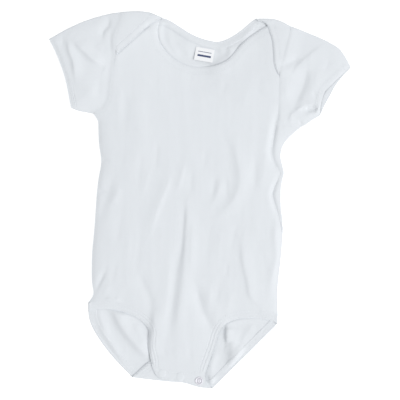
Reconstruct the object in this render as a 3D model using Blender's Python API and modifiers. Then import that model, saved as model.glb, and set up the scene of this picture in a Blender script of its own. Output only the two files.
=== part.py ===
"""Baby bodysuit with short sleeves and an envelope neck, laid flat with its front up.

X runs to the viewer's right, Y towards the neck and Z up from the surface it lies on.
Sizes are in millimetres until a mesh is written, in metres. Each cloth piece is an open
surface, the outer face of the cloth, that Solidify thickens inwards. Lower layers lie at
z = 0. Upper layers follow top_height(). Folded edges join the two round a small bend.
"""

from collections import namedtuple
from math import pi

import bmesh
import bpy
import numpy as np
from mathutils import Vector
from mathutils.geometry import delaunay_2d_cdt

MM = 0.001
CLOTH = 1.0  # wall of the knitted cloth
BAND = 1.3  # wall of a binding, which is folded double
GAP = 0.3  # between pieces at a seam, and between layers
EDGE_TOP = 2.6  # top of the upper layer where it meets the outline
FOLD_INSET = 1.3  # how far inside the outline the round of a plain fold starts
NECK_BAND_WIDTH = 8.0
LEG_BAND_WIDTH = 8.5
TAB_TOP = 3.0  # top of the back tab, folded up over the lower layer
TAB_LIFT = 2.0  # how much the folded tab raises the front over it
TAB_SPREAD = 13.0  # how far from the tab that rise dies away
NEAR_RISE, NEAR_REACH = 1.9, 6.0  # quick rise of the cloth in from the outline
FAR_RISE, FAR_REACH = 2.2, 42.0  # slow rise towards the middle
RIM_REACH = 13.0  # how far a free rim holds the front down
RIM_HOLD = 0.72  # share of the rise that it takes away
LAP_SPREAD = 11.0  # how far a lap raises the sleeve beside it
MESH_FINE = 6.4  # point spacing of an upper layer
MESH_COARSE = 16.0  # point spacing of a lower layer, which is flat
LINE_STEP = 4.0  # point spacing along an edge
BEND_STEPS = 4  # faces round a folded edge
BAND_STEPS = 3  # faces across a binding
POPPER_RADIUS = 4.4
LABEL_SIZE = (20.0, 14.0)
LABEL_TILT = -10.0  # degrees

Row = namedtuple("Row", "y left right seam")
Fold = namedtuple("Fold", "height width path")
Turn = namedtuple("Turn", "corner pivot out tip top")

# The body by height: its left edge, its right edge, and the side seam that has rolled
# to the front on the right, so that a strip of the back shows beside it.
BODY = [
    Row(77.5, -107.7, 107.5, 81.0),
    Row(73.0, -107.6, 102.0, 79.8),
    Row(65.5, -107.3, 93.8, 78.4),
    Row(59.0, -106.9, 88.8, 77.5),
    Row(52.5, -106.0, 86.2, 77.1),
    Row(44.5, -104.8, 85.6, 77.8),
    Row(36.0, -105.0, 87.6, 81.6),
    Row(28.5, -106.5, 89.0, 85.2),
    Row(21.5, -107.6, 87.3, 82.6),
    Row(12.0, -108.8, 85.9, 78.5),
    Row(5.5, -109.4, 85.6, 77.0),
    Row(-2.5, -110.0, 85.6, 79.2),
    Row(-12.0, -110.6, 86.3, 82.2),
    Row(-24.0, -111.4, 88.0, 84.8),
    Row(-40.0, -112.8, 87.4, 87.4),
    Row(-58.0, -114.4, 86.0, 86.0),
    Row(-84.5, -114.6, 83.0, 83.0),
    Row(-99.5, -113.0, 81.8, 81.8),
    Row(-108.5, -118.2, 82.0, 82.0),
    Row(-121.0, -118.6, 82.4, 82.4),
]
STRIP_END = 13  # the last row where the strip shows
LEFT_HIP = 18  # the row where the left leg band starts

# Edges, each from its first corner to its last.
SHOULDER_LEFT = [(-80.5, 199.4), (-69, 200), (-58, 199.5), (-48.5, 197.5), (-40, 193.5)]
NECK_BACK = [(-40, 193.5), (-31.5, 190), (-21, 183.5), (-10.5, 176.8), (0, 172), (10.5, 169),
             (20, 167.8), (31.5, 172), (42.5, 179), (52, 187), (59, 192.4)]
SHOULDER_RIGHT = [(59, 192.4), (65.5, 193.4), (74, 192.5), (84.5, 190), (96.5, 184)]
ARMHOLE_LEFT = [(-80.5, 199.4), (-82.5, 190.5), (-87, 180), (-90, 171), (-90, 163), (-89, 154),
                (-91.5, 137.5), (-93.2, 124), (-95, 108), (-98.5, 99.5), (-104, 93.5), (-113, 91.5)]
ARMHOLE_RIGHT = [(96.5, 184), (94.5, 176.5), (91, 163), (88.5, 153.5), (86, 143), (84.2, 131),
                 (83.5, 116.5), (83, 100.5), (82.2, 83.6)]
ARMPIT_RIGHT = [(82.2, 83.6), (90, 79.8), (98.5, 77.6), (107.5, 77.5)]
ARMHOLE_RIGHT_BELOW = [(96.5, 184), (95, 150), (96.5, 115), (101, 93), (107.5, 77.5)]
SLEEVE_TOP_LEFT = [(-80.5, 199.4), (-96.5, 197.2), (-118.5, 191), (-139.5, 182), (-160, 170.5)]
CUFF_LEFT = [(-160, 170.5), (-151.5, 153), (-143, 129), (-138.5, 107), (-136.5, 97.5)]
UNDERARM_LEFT = [(-136.5, 97.5), (-129, 94.5), (-121.5, 93), (-113, 91.5)]
SLEEVE_TOP_RIGHT = [(96.5, 184), (106, 180.5), (127, 172), (139, 166), (148, 160), (154.5, 151),
                    (160, 140.5)]
CUFF_RIGHT_BELOW = [(160, 140.5), (151.5, 131.5), (144, 122), (137, 109), (132, 100), (127, 89.5)]
CUFF_RIGHT_ABOVE = [(160, 140.5), (150, 132), (141, 123.5), (133, 115.5), (129.5, 107), (127.5, 98),
                    (127, 89.5)]
UNDERARM_RIGHT = [(127, 89.5), (118.5, 84.3), (112.5, 80), (107.5, 77.5)]
NECK_FRONT = [(-41.5, 190.5), (-44.5, 184), (-44.8, 176), (-43, 168), (-38.5, 160.5), (-33, 154),
              (-25.5, 148), (-16.5, 143.5), (-6.5, 141), (6.5, 140.8), (18, 143), (28, 147.5),
              (35, 154.5), (41.5, 162), (49.5, 170), (59, 177), (68, 182.5), (75, 186)]
LAP_LEFT = [(-88.2, 153.8), (-79.5, 162), (-70, 170.3), (-60.5, 179), (-53, 185.6), (-47, 189.2),
            (-42.5, 190.8)]
LAP_RIGHT = [(62, 189.2), (66.5, 188.6), (71, 185.3), (74, 177.5), (76.5, 168), (77.6, 157.5),
             (78.2, 147), (80, 138.5), (83.2, 132.4)]
LEG_FRONT_LEFT = [(-118.4, -117.5), (-113, -116), (-106, -115), (-97.5, -115.3), (-85.5, -117.5),
                  (-75, -121), (-65.5, -126), (-57.5, -132.5), (-54, -139), (-54.6, -146),
                  (-55, -155), (-53.5, -163), (-51.2, -173)]
LEG_BACK_LEFT = [(-118.4, -119), (-117.2, -126.5), (-114.5, -134), (-110, -142.3), (-102.5, -153.5),
                 (-93, -165.5), (-83.5, -176), (-76, -183.5), (-72, -187.6)]
LEG_FRONT_RIGHT = [(82, -130.3), (76, -128), (67.5, -126), (59, -125), (49.5, -125), (40, -126),
                   (31.5, -128.8), (24.5, -133.5), (20, -140.5), (17.5, -149), (14.5, -158.5),
                   (11, -168), (6.2, -181)]
LEG_BACK_RIGHT = [(81.6, -132), (72, -141.5), (61, -152.5), (49, -164.5), (38, -175.3),
                  (28, -185.3), (19, -194.3), (13, -199.6)]
BOTTOM = [(-72, -187.9), (-53, -190.3), (-34, -192.4), (-17, -193.8), (-5, -197.3), (4, -199.3),
          (13, -199.9)]
TAB_LINE = [(-51, -174.5), (-44.5, -179), (-34, -181), (-20, -181.8), (-6, -181.6), (5.5, -183)]
TAB_HEM = [(-50.5, -176.5), (-47, -184.5), (-41.5, -188.7), (-33, -191.2), (-17, -193), (-5, -196.6),
           (6.2, -198.6)]
TAB_RIGHT = [(6.2, -198.6), (5.6, -191), (5.2, -184.5)]
BACK_TAB_TOP = [(-46, -168), (-30, -171), (-12, -174), (0, -180)]
BACK_TAB_LEFT = [(-72, -187.6), (-64.5, -180.5), (-57, -174), (-52, -170), (-47.5, -166.5)]
BACK_TAB_RIGHT = [(13, -199.6), (8, -193.5), (4, -187), (0.5, -180)]

# The largest creases of the upper layer: its height (a trough is less than 0), half width and path.
FOLDS = [
    Fold(-2.3, 8.0, [(-16, -14), (-17, -42), (-20, -69), (-22, -95), (-26.5, -118), (-29, -143)]),
    Fold(1.3, 8.0, [(-9, -92), (-12, -116), (-15, -146)]),
    Fold(1.4, 8.0, [(-29.5, 29.5), (-37, 8.5), (-45.5, -12.5), (-53, -37)]),
    Fold(0.9, 6.0, [(-16, 40), (-20, 21), (-24.5, 8.5)]),
    Fold(-0.9, 6.0, [(-8.5, 32), (-9.5, 8)]),
    Fold(-0.9, 6.0, [(17, 26), (12.5, 1)]),
    Fold(-1.6, 8.0, [(26.5, 63.5), (34, 42.5), (38, 21), (34, 3), (23.5, -12.5)]),
    Fold(1.4, 9.0, [(47.5, 66), (49, 45), (48.5, 20)]),
    Fold(-1.1, 7.0, [(58, 44), (58, 9)]),
    Fold(-1.8, 7.0, [(44.5, -53), (46.5, -74), (49.5, -95), (55, -111)]),
    Fold(-1.5, 7.0, [(-3, -98), (2, -116.5), (11.5, -134.5)]),
    Fold(-1.0, 6.0, [(21, -85), (17, -108), (14, -130)]),
    Fold(-1.4, 7.0, [(-66, -84), (-53, -108), (-49, -125)]),
    Fold(-1.4, 6.0, [(-100, -80), (-111, -99)]),
    Fold(-1.2, 7.0, [(-94, 18), (-106, -13)]),
    Fold(-1.5, 7.0, [(74, -30), (77, -53), (73, -82)]),
    Fold(-1.0, 12.0, [(-22, 128), (0, 124), (22, 128)]),
    Fold(1.0, 12.0, [(-70, 120), (-66, 70), (-70, 20)]),
    Fold(-1.4, 6.0, [(-141, 166), (-140, 155), (-135, 137)]),
    Fold(-1.8, 6.5, [(-131, 168), (-124, 156), (-114, 145), (-101, 139.5)]),
    Fold(1.1, 8.0, [(-126, 132), (-118, 118), (-110, 108)]),
    Fold(-1.5, 6.0, [(-98, 192), (-100.5, 181), (-101.5, 171)]),
    Fold(-2.2, 9.0, [(116, 140), (113, 124), (107, 108), (99, 93)]),
    Fold(1.4, 7.0, [(132, 163), (118, 155.5), (103, 141)]),
    Fold(1.2, 8.0, [(128, 140), (121, 118), (117, 104)]),
    Fold(-0.9, 6.0, [(88, 143), (98, 147), (107, 153)]),
]

FINISHES = {  # colour, roughness, metallic
    "knit": ((0.80, 0.82, 0.84, 1.0), 0.90, 0.0),
    "binding": ((0.83, 0.85, 0.87, 1.0), 0.88, 0.0),
    "satin": ((0.88, 0.88, 0.88, 1.0), 0.45, 0.0),
    "popper": ((0.62, 0.63, 0.65, 1.0), 0.30, 0.9),
}


# ---- plane curves ----

def smooth(points, step=LINE_STEP):
    """A Catmull-Rom curve through the points, with points about a step apart."""
    p = np.array(points, float)
    ends = np.vstack([2 * p[0] - p[1], p, 2 * p[-1] - p[-2]])
    t = np.linspace(0, 1, 12, endpoint=False)[:, None]
    rows = []
    for a, b, c, d in zip(ends[:-3], ends[1:-2], ends[2:-1], ends[3:]):
        cubic = (3 * b - a - 3 * c + d) * t**3
        square = (2 * a - 5 * b + 4 * c - d) * t**2
        rows.append(0.5 * (2 * b + (c - a) * t + square + cubic))
    return resample(np.vstack(rows + [p[-1:]]), step)


def resample(line, step):
    """The same polyline with points about a step apart."""
    run = np.concatenate([[0], np.cumsum(np.linalg.norm(np.diff(line, axis=0), axis=1))])
    at = np.linspace(0, run[-1], max(2, round(run[-1] / step) + 1))
    return np.column_stack([np.interp(at, run, line[:, k]) for k in (0, 1)])


def left_normals(line):
    """Unit normals to the left of the line's direction, one for each point."""
    along = np.gradient(line, axis=0)
    along /= np.linalg.norm(along, axis=1)[:, None]
    return np.column_stack([-along[:, 1], along[:, 0]])


def beside(line, distance):
    """The line moved to its left by a distance, or to its right if that is less than 0."""
    return line + distance * left_normals(line)


def distance_to(points, line):
    """How far each point is from a polyline."""
    start, step = line[:-1], np.diff(line, axis=0)
    size = np.maximum((step**2).sum(1), 1e-12)
    best = np.full(len(points), np.inf)
    for a, s, n in zip(start, step, size):
        t = np.clip(((points - a) @ s) / n, 0, 1)
        best = np.minimum(best, np.linalg.norm(points - a - t[:, None] * s, axis=1))
    return best


def share_along(points, line):
    """Where on a polyline, from 0 to 1, the nearest place to each point is."""
    start, step = line[:-1], np.diff(line, axis=0)
    length = np.linalg.norm(step, axis=1)
    run = np.concatenate([[0], np.cumsum(length)])
    best, share = np.full(len(points), np.inf), np.zeros(len(points))
    for k, (a, s) in enumerate(zip(start, step)):
        t = np.clip(((points - a) @ s) / length[k] ** 2, 0, 1)
        gap = np.linalg.norm(points - a - t[:, None] * s, axis=1)
        share = np.where(gap < best, (run[k] + t * length[k]) / run[-1], share)
        best = np.minimum(best, gap)
    return share


def inside(points, loop):
    """Which points are inside a closed loop."""
    x, y = points[:, 0], points[:, 1]
    found = np.zeros(len(points), bool)
    for (ax, ay), (bx, by) in zip(loop, np.roll(loop, -1, axis=0)):
        if ay != by:
            cross = (ay > y) != (by > y)
            found ^= cross & (x < (bx - ax) * (y - ay) / (by - ay) + ax)
    return found


def crossing(a, b, line):
    """Where the segment from a to b first crosses a polyline, or None."""
    best = None
    for p, q in zip(line[:-1], line[1:]):
        r, s = b - a, q - p
        turn = r[0] * s[1] - r[1] * s[0]
        if abs(turn) < 1e-9:
            continue
        t = ((p - a)[0] * s[1] - (p - a)[1] * s[0]) / turn
        u = ((p - a)[0] * r[1] - (p - a)[1] * r[0]) / turn
        if 0 < t <= 1 and 0 <= u <= 1 and (best is None or t < best):
            best = t
    return None if best is None else a + best * (b - a)


def body_edge(column, first, last):
    """One column of the body table from one row to another, as a smooth line."""
    rows = BODY[first : last + 1]
    return smooth([(getattr(row, column), row.y) for row in rows])


# ---- the height of the upper layer ----

SIDE_LEFT = smooth([(-113, 91.5), (-108.3, 84)] + [(row.left, row.y) for row in BODY[:LEFT_HIP + 1]])
SIDE_RIGHT = body_edge("right", 0, len(BODY) - 1)
OUTLINE = np.vstack([
    smooth(SHOULDER_LEFT), smooth(NECK_BACK), smooth(SHOULDER_RIGHT), smooth(SLEEVE_TOP_RIGHT),
    smooth(CUFF_RIGHT_BELOW), smooth(UNDERARM_RIGHT), SIDE_RIGHT, smooth(LEG_BACK_RIGHT),
    smooth(BOTTOM)[::-1], smooth(LEG_BACK_LEFT)[::-1], SIDE_LEFT[::-1],
    smooth(UNDERARM_LEFT)[::-1], smooth(CUFF_LEFT)[::-1], smooth(SLEEVE_TOP_LEFT)[::-1],
])
RIMS = [smooth(NECK_FRONT), smooth(LEG_FRONT_LEFT), smooth(LEG_FRONT_RIGHT)]
LAP_AREAS = [
    np.vstack([smooth(LAP_LEFT), smooth(SHOULDER_LEFT)[::-1], smooth(ARMHOLE_LEFT)[:12]]),
    np.vstack([smooth(LAP_RIGHT), smooth(ARMHOLE_RIGHT)[13::-1], smooth(SHOULDER_RIGHT)[::-1]]),
]
TAB_AREA = np.vstack([smooth(BOTTOM), smooth(BACK_TAB_RIGHT), smooth(BACK_TAB_TOP)[::-1],
                      smooth(BACK_TAB_LEFT)[::-1]])


def nearness(points, area, spread):
    """1 inside an area, easing to 0 at a distance of spread outside it."""
    away = np.where(inside(points, area), 0, distance_to(points, np.vstack([area, area[:1]])))
    part = np.clip(1 - away / spread, 0, 1)
    return part * part * (3 - 2 * part)


def creases(points):
    """The sum of the creases at each point, each fading out towards its two ends."""
    total = np.zeros(len(points))
    for fold in FOLDS:
        path = smooth(fold.path)
        profile = np.exp(-((distance_to(points, path) / fold.width) ** 2))
        share = share_along(points, path)
        ends = np.clip(np.minimum(share, 1 - share) / 0.3, 0.25, 1)
        total += fold.height * profile * ends
    return total


def top_height(points):
    """The top of the upper layer at each point."""
    inwards = np.maximum(distance_to(points, OUTLINE) - FOLD_INSET, 0)
    rise = NEAR_RISE * (1 - np.exp(-inwards / NEAR_REACH))
    rise += FAR_RISE * (1 - np.exp(-inwards / FAR_REACH))
    rim = np.min([distance_to(points, line) for line in RIMS], axis=0)
    rise *= 1 - RIM_HOLD * np.exp(-rim / RIM_REACH)
    tab = nearness(points, TAB_AREA, TAB_SPREAD)
    shape = rise + creases(points) * (1 - np.exp(-inwards / NEAR_REACH))
    return EDGE_TOP + np.maximum(shape, 0) * (1 - 0.9 * tab) + TAB_LIFT * tab


def lap_height(points):
    """The top of a lap, which lies on the front."""
    return top_height(points) + CLOTH + GAP


def sleeve_height(points):
    """The top of a sleeve, raised beside a lap so that the seam between them is level."""
    near = np.max([nearness(points, area, LAP_SPREAD) for area in LAP_AREAS], axis=0)
    return top_height(points) + (CLOTH + GAP) * near


def front_height(points):
    """The top of the front, which comes down on to the back at the side seam."""
    inwards = distance_to(points, OUTLINE)
    return top_height(points) - GAP * np.exp(-inwards / 4)


def tab_height(points):
    """The top of the back's tab, folded up over its lower layer."""
    return np.full(len(points), TAB_TOP)


def floor_height(points):
    """The underside of a lower layer."""
    return np.zeros(len(points))


# ---- surfaces ----

def clear_scene():
    """Empties the scene."""
    for obj in list(bpy.data.objects):
        bpy.data.objects.remove(obj, do_unlink=True)


def material(finish):
    """The material of this name, made on its first use."""
    if finish in bpy.data.materials:
        return bpy.data.materials[finish]
    colour, roughness, metallic = FINISHES[finish]
    made = bpy.data.materials.new(finish)
    made.use_nodes = True
    shader = made.node_tree.nodes["Principled BSDF"]
    shader.inputs["Base Color"].default_value = colour
    shader.inputs["Roughness"].default_value = roughness
    shader.inputs["Metallic"].default_value = metallic
    return made


class Surface:
    """The outer face of one piece, gathered sheet by sheet, in millimetres."""

    def __init__(self):
        self.points = []
        self.faces = []

    def add(self, points, faces):
        """Adds points and the faces between them."""
        first = len(self.points)
        self.points += [tuple(point) for point in points]
        self.faces += [tuple(first + k for k in face) for face in faces]

    def sheet(self, loop, height, spacing=MESH_FINE):
        """Fills a closed loop with points at a given spacing, raised by a height function."""
        low, high = loop.min(0), loop.max(0)
        rows = np.arange(low[1], high[1], spacing * 0.866)
        lattice = np.array([
            (x + (k % 2) * spacing / 2, y)
            for k, y in enumerate(rows)
            for x in np.arange(low[0], high[0], spacing)
        ])
        lattice = lattice[inside(lattice, loop)]
        closed = np.vstack([loop, loop[:1]])
        lattice = lattice[distance_to(lattice, closed) > 0.55 * min(spacing, MESH_FINE)]
        points = [Vector(p) for p in np.vstack([loop, lattice])]
        edges = [(k, (k + 1) % len(loop)) for k in range(len(loop))]
        found = delaunay_2d_cdt(points, edges, [list(range(len(loop)))], 1, 1e-4)
        flat = np.array([tuple(p) for p in found[0]])
        self.add(np.column_stack([flat, height(flat)]), found[2])

    def bend(self, line, outwards, top):
        """Joins the lower layer to an upper one round a folded edge, along a line inside it."""
        rows = []
        radius = top / 2
        for step in range(BEND_STEPS + 1):
            angle = pi * (step / BEND_STEPS - 0.5)
            out = line + outwards * (radius * np.cos(angle))[:, None]
            rows.append(np.column_stack([out, radius * (1 + np.sin(angle))]))
        self.grid(rows)

    def grid(self, rows):
        """Joins rows of points, all of one length, with faces."""
        count = len(rows[0])
        faces = [
            (a * count + b, a * count + b + 1, (a + 1) * count + b + 1, (a + 1) * count + b)
            for a in range(len(rows) - 1)
            for b in range(count - 1)
        ]
        self.add(np.vstack(rows), faces)

    def build(self, name, finish, thickness):
        """Makes the object: the surface with its normals out, thickened inwards."""
        mesh = bpy.data.meshes.new(name)
        mesh.from_pydata([Vector(p) * MM for p in self.points], [], self.faces)
        work = bmesh.new()
        work.from_mesh(mesh)
        bmesh.ops.remove_doubles(work, verts=work.verts, dist=2e-6)
        loose = [vert for vert in work.verts if not vert.link_faces]
        bmesh.ops.delete(work, geom=loose, context="VERTS")
        bmesh.ops.recalc_face_normals(work, faces=work.faces)
        floor = [f for f in work.faces if f.calc_center_median().z < 1e-6]
        wanted, chosen = (-1, floor) if floor else (1, work.faces)
        if sum(face.normal.z * face.calc_area() for face in chosen) * wanted < 0:
            bmesh.ops.reverse_faces(work, faces=work.faces)
        work.to_mesh(mesh)
        work.free()
        mesh.materials.append(material(finish))
        for face in mesh.polygons:
            face.use_smooth = True
        obj = bpy.data.objects.new(name, mesh)
        PIECES.objects.link(obj)
        wall = obj.modifiers.new("wall", "SOLIDIFY")
        wall.thickness = thickness * MM
        wall.offset = -1
        wall.use_even_offset = True
        return obj


def shortened(line, start, end):
    """The line without a length at each end."""
    run = np.concatenate([[0], np.cumsum(np.linalg.norm(np.diff(line, axis=0), axis=1))])
    at = np.concatenate([[start], run[(run > start + 0.5) & (run < run[-1] - end - 0.5)]])
    at = np.append(at, run[-1] - end)
    return np.column_stack([np.interp(at, run, line[:, k]) for k in (0, 1)])


def folded(edge, side, height, start=0.0, end=0.0):
    """The line where a folded edge's bend starts, the way out from it, and the top there.

    edge is the outline, and side is 1 where the cloth is to its left and -1 to its right.
    start and end are the lengths left off it at seams."""
    edge = shortened(edge, start, end)
    inwards = side * left_normals(edge)
    line = edge + inwards * FOLD_INSET
    line = edge + inwards * (height(line) / 2)[:, None]
    return line, -inwards, height(line)


# ---- bands ----

def rungs(edge, width, barrier=None, end=None):
    """Pairs of points across a band: its edge, and the same moved to the left by its width.

    A rung stops short of the barrier, and the last one reaches to end."""
    inner = beside(edge, width)
    for k, (a, b) in enumerate(zip(edge, inner)):
        stop = None if barrier is None else crossing(a, b, barrier)
        if stop is not None:
            reach = max(np.linalg.norm(stop - a) - 2.5 * GAP, 0.6)
            inner[k] = a + (b - a) / abs(width) * reach
    if end is not None:
        inner[-1] = end
    return [edge, inner]


def fan(edge_point, first, last, shares=(0.45, 0.65, 0.85)):
    """Rungs that swing about one edge point, at these shares of the turn from one inner
    point to another."""
    shares = np.array(shares)
    a, b = first - edge_point, last - edge_point
    start, size = np.arctan2(a[1], a[0]), np.linalg.norm(a)
    turn = (np.arctan2(b[1], b[0]) - start + pi) % (2 * pi) - pi
    sizes = size + (np.linalg.norm(b) - size) * shares
    angles = start + turn * shares
    inner = edge_point + np.column_stack([np.cos(angles), np.sin(angles)]) * sizes[:, None]
    return [np.repeat([edge_point], len(shares), axis=0), inner]


def put_band(surface, pairs, height, across=BAND_STEPS):
    """Adds the faces of a band between its edge line and its inner line."""
    edge, inner = pairs
    lines = [edge + (inner - edge) * k / across for k in range(across + 1)]
    surface.grid([np.column_stack([line, height(line)]) for line in lines])


def put_turn(surface, turn, across=BAND_STEPS):
    """Turns a band round a folded edge, between its corner and its pivot."""
    span = turn.pivot - turn.corner
    line = np.array([turn.corner + span * k / across for k in range(across + 1)])
    surface.bend(line, np.repeat([turn.out], across + 1, axis=0), np.full(across + 1, turn.top))


def wrap_place(edge, width, side, top):
    """Where a band turns at a folded edge, from that edge's first point over a width: its
    corner and its pivot, both moved in by the bend, the way out, that first point, and the
    height of the turn."""
    corner = edge[0]
    away = np.linalg.norm(edge - corner, axis=1)
    pivot = edge[np.argmin(np.abs(away - width))]
    along = (pivot - corner) / np.linalg.norm(pivot - corner)
    inwards = side * np.array([-along[1], along[0]])
    return Turn(corner + inwards * top / 2, pivot + inwards * top / 2, -inwards, corner, top)


def joined(*parts):
    """Rungs of several stretches, one after another."""
    return [np.vstack([part[k] for part in parts]) for k in (0, 1)]


def panel_line(pairs, gap=GAP):
    """The edge of the panel along a band, a seam's gap past the band's inner line."""
    edge, inner = pairs
    along = (inner - edge) / np.linalg.norm(inner - edge, axis=1)[:, None]
    line = inner + along * gap
    keep = np.concatenate([[True], np.linalg.norm(np.diff(line, axis=0), axis=1) > 0.3])
    return line[keep]


# ---- the neck ----

NECK_TOP = EDGE_TOP + CLOTH + 3 * GAP  # top of the back neck's band where it turns
LEG_TOP = EDGE_TOP + GAP
LEFT_CORNER = wrap_place(smooth(SHOULDER_LEFT, 1)[::-1], 13, 1, NECK_TOP)
RIGHT_CORNER = wrap_place(smooth(SHOULDER_RIGHT, 1), 18, -1, NECK_TOP)


def neck_bands():
    """The three stretches of the back neck's band: left lap, neck and right lap."""
    left = rungs(smooth(LAP_LEFT), NECK_BAND_WIDTH, smooth(ARMHOLE_LEFT))
    right = rungs(smooth(LAP_RIGHT), NECK_BAND_WIDTH, smooth(ARMHOLE_RIGHT))
    neck = rungs(smooth(NECK_BACK, 3), -NECK_BAND_WIDTH)
    neck = turned(turned(neck, LEFT_CORNER, 0, True), RIGHT_CORNER, -1, True)
    return turned(left, LEFT_CORNER, -1), neck, turned(right, RIGHT_CORNER, 0)


def turned(pairs, turn, end, swing=False):
    """Ends a stretch at the place where its band turns. Rungs that would pass the folded edge
    stop at the pivot, and with swing the last ones swing round to it."""
    keep = np.linalg.norm(pairs[0] - turn.tip, axis=1) > 2.8
    edge, inner, pivot = pairs[0][keep], pairs[1][keep].copy(), turn.pivot
    reach = 2.2 * np.linalg.norm(pivot - turn.corner)
    near = np.linalg.norm(edge - turn.corner, axis=1) < reach
    inner[near & ((inner - pivot) @ turn.out > 0)] = pivot
    extra = [np.array([turn.corner]), np.array([pivot])]
    if end == 0:
        swung = [fan(edge[0], pivot, inner[0])] if swing else []
        return joined(extra, *swung, [edge, inner])
    swung = [fan(edge[-1], inner[-1], pivot, (0.15, 0.35, 0.55))] if swing else []
    return joined([edge, inner], *swung, extra)


def lap_band_height(points):
    """The top of the back neck's band on a lap, just proud of it."""
    return lap_height(points) + GAP


def build_neck():
    """The back neck's band, from lap tip to lap tip, and the front neck's band below it."""
    left, neck, right = neck_bands()
    band = Surface()
    put_band(band, left, level_at(lap_band_height, LEFT_CORNER))
    put_turn(band, LEFT_CORNER)
    put_band(band, neck, floor_height)
    put_turn(band, RIGHT_CORNER)
    put_band(band, right, level_at(lap_band_height, RIGHT_CORNER))
    band.build("neck_band_back", "binding", BAND)
    front = Surface()
    put_band(front, rungs(smooth(NECK_FRONT), -NECK_BAND_WIDTH), top_height)
    front.build("neck_band_front", "binding", BAND)


def level_at(height, turn):
    """A height function that eases to the height of a band's turn along it."""
    line = np.array([turn.corner, turn.pivot])

    def eased(points):
        near = np.clip(1 - distance_to(points, line) / 1.5, 0, 1)
        return height(points) * (1 - near) + turn.top * near

    return eased


# ---- the legs ----

LEFT_HIP_EDGE = smooth([(-118.4, -118.2), (-118.6, -113), (-118.2, -108.5), (-113, -99.5)], 1)
RIGHT_HIP_EDGE = smooth([(82, -131.2), (82.5, -126), (82.4, -121), (81.8, -112)], 1)
LEFT_SIDE = wrap_place(LEFT_HIP_EDGE, 9.5, -1, LEG_TOP)
RIGHT_SIDE = wrap_place(RIGHT_HIP_EDGE, 9.5, 1, LEG_TOP)
LEFT_FOOT = wrap_place(smooth(BOTTOM, 1), 11.5, 1, TAB_TOP)
RIGHT_FOOT = wrap_place(smooth(BOTTOM, 1)[::-1], 11.5, -1, TAB_TOP)


def leg_bands():
    """For each leg, the band's stretches on the front, on the back and on the folded tab."""
    found = []
    for front, back, tab, side, hip, foot, end in (
        (LEG_FRONT_LEFT, LEG_BACK_LEFT, BACK_TAB_LEFT, 1, LEFT_SIDE, LEFT_FOOT, (-43.5, -177.4)),
        (LEG_FRONT_RIGHT, LEG_BACK_RIGHT, BACK_TAB_RIGHT, -1, RIGHT_SIDE, RIGHT_FOOT, (-2, -180.8)),
    ):
        width = side * LEG_BAND_WIDTH
        below = turned(rungs(smooth(back), width), hip, 0, True)
        found.append((
            turned(rungs(smooth(front), width, end=end), hip, 0),
            turned(below, foot, -1, True),
            turned(rungs(smooth(tab), -width), foot, 0),
        ))
    return found


def leg_height(points):
    """The top of a leg's band on the front, just proud of it."""
    return top_height(points) + GAP


def build_leg(name, stretches, side, foot):
    """One leg's band: the front, round the hip, the back, and round the folded tab."""
    front, back, tab = stretches
    band = Surface()
    put_band(band, front, level_at(leg_height, side))
    put_turn(band, side)
    put_band(band, back, floor_height)
    put_turn(band, foot)
    put_band(band, tab, tab_height)
    band.build(name, "binding", BAND)


# ---- the panels ----

def loop_of(*runs):
    """A closed loop from runs end to end, with points that nearly repeat left out."""
    points = np.vstack(runs)
    keep = np.linalg.norm(points - np.roll(points, 1, axis=0), axis=1) > 0.2
    return points[keep]


def build_back():
    """The back: its lower layer, the two laps, the strip at the right side and the tab."""
    left_lap, neck, right_lap = neck_bands()
    left_leg, right_leg = leg_bands()
    gap = GAP / 2
    shoulder_left = cut_before(smooth(SHOULDER_LEFT), LEFT_CORNER)
    shoulder_right = cut_before(smooth(SHOULDER_RIGHT)[::-1], RIGHT_CORNER)[::-1]
    fold_left = folded(shoulder_left, -1, lap_height, start=GAP)
    fold_right = folded(shoulder_right, -1, lap_height, end=GAP)
    fold_strip = folded(body_edge("right", 0, STRIP_END), -1, top_height, start=GAP)
    bottom = cut_before(cut_before(smooth(BOTTOM), RIGHT_FOOT)[::-1], LEFT_FOOT)[::-1]
    fold_bottom = folded(bottom, 1, tab_height)
    armhole_left = beside(smooth(ARMHOLE_LEFT), gap)[1:]
    armhole_right = beside(smooth(ARMHOLE_RIGHT), -gap)
    strip_seam = beside(body_edge("seam", 0, STRIP_END), gap)
    armpit = beside(smooth(ARMPIT_RIGHT), -gap)[1:-1]
    lower = loop_of(
        fold_left[0], panel_line(neck)[1:-1], fold_right[0],
        beside(smooth(ARMHOLE_RIGHT_BELOW), -gap)[1:-1], fold_strip[0],
        SIDE_RIGHT[np.where(SIDE_RIGHT[:, 1] < BODY[STRIP_END].y - 5)],
        panel_line(right_leg[1])[1:-1], fold_bottom[0][::-1],
        panel_line(left_leg[1])[1:-1][::-1], SIDE_LEFT[::-1][1:], armhole_left[::-1][1:],
    )
    back = Surface()
    back.sheet(lower, floor_height, MESH_COARSE)
    for fold in (fold_left, fold_right, fold_strip, fold_bottom):
        back.bend(*fold)
    inner_left = panel_line(left_lap)
    inner_left = inner_left[inside(inner_left, LAP_AREAS[0])][:-1]
    inner_right = panel_line(right_lap)
    inner_right = inner_right[inside(inner_right, LAP_AREAS[1])][1:]
    low_left, low_right = inner_left[0][1] + 3, inner_right[-1][1] + 3
    back.sheet(loop_of(
        fold_left[0], inner_left[::-1], armhole_left[armhole_left[:, 1] > low_left][::-1],
    ), lap_height)
    back.sheet(loop_of(
        fold_right[0], armhole_right[armhole_right[:, 1] > low_right][1:], inner_right[::-1],
    ), lap_height)
    back.sheet(loop_of(fold_strip[0], strip_seam[::-1], armpit), top_height)
    back.sheet(loop_of(
        fold_bottom[0][::-1], panel_line(left_leg[2])[2:], smooth(BACK_TAB_TOP)[1:-1],
        panel_line(right_leg[2])[2:][::-1],
    ), tab_height)
    back.build("back", "knit", CLOTH)


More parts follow.
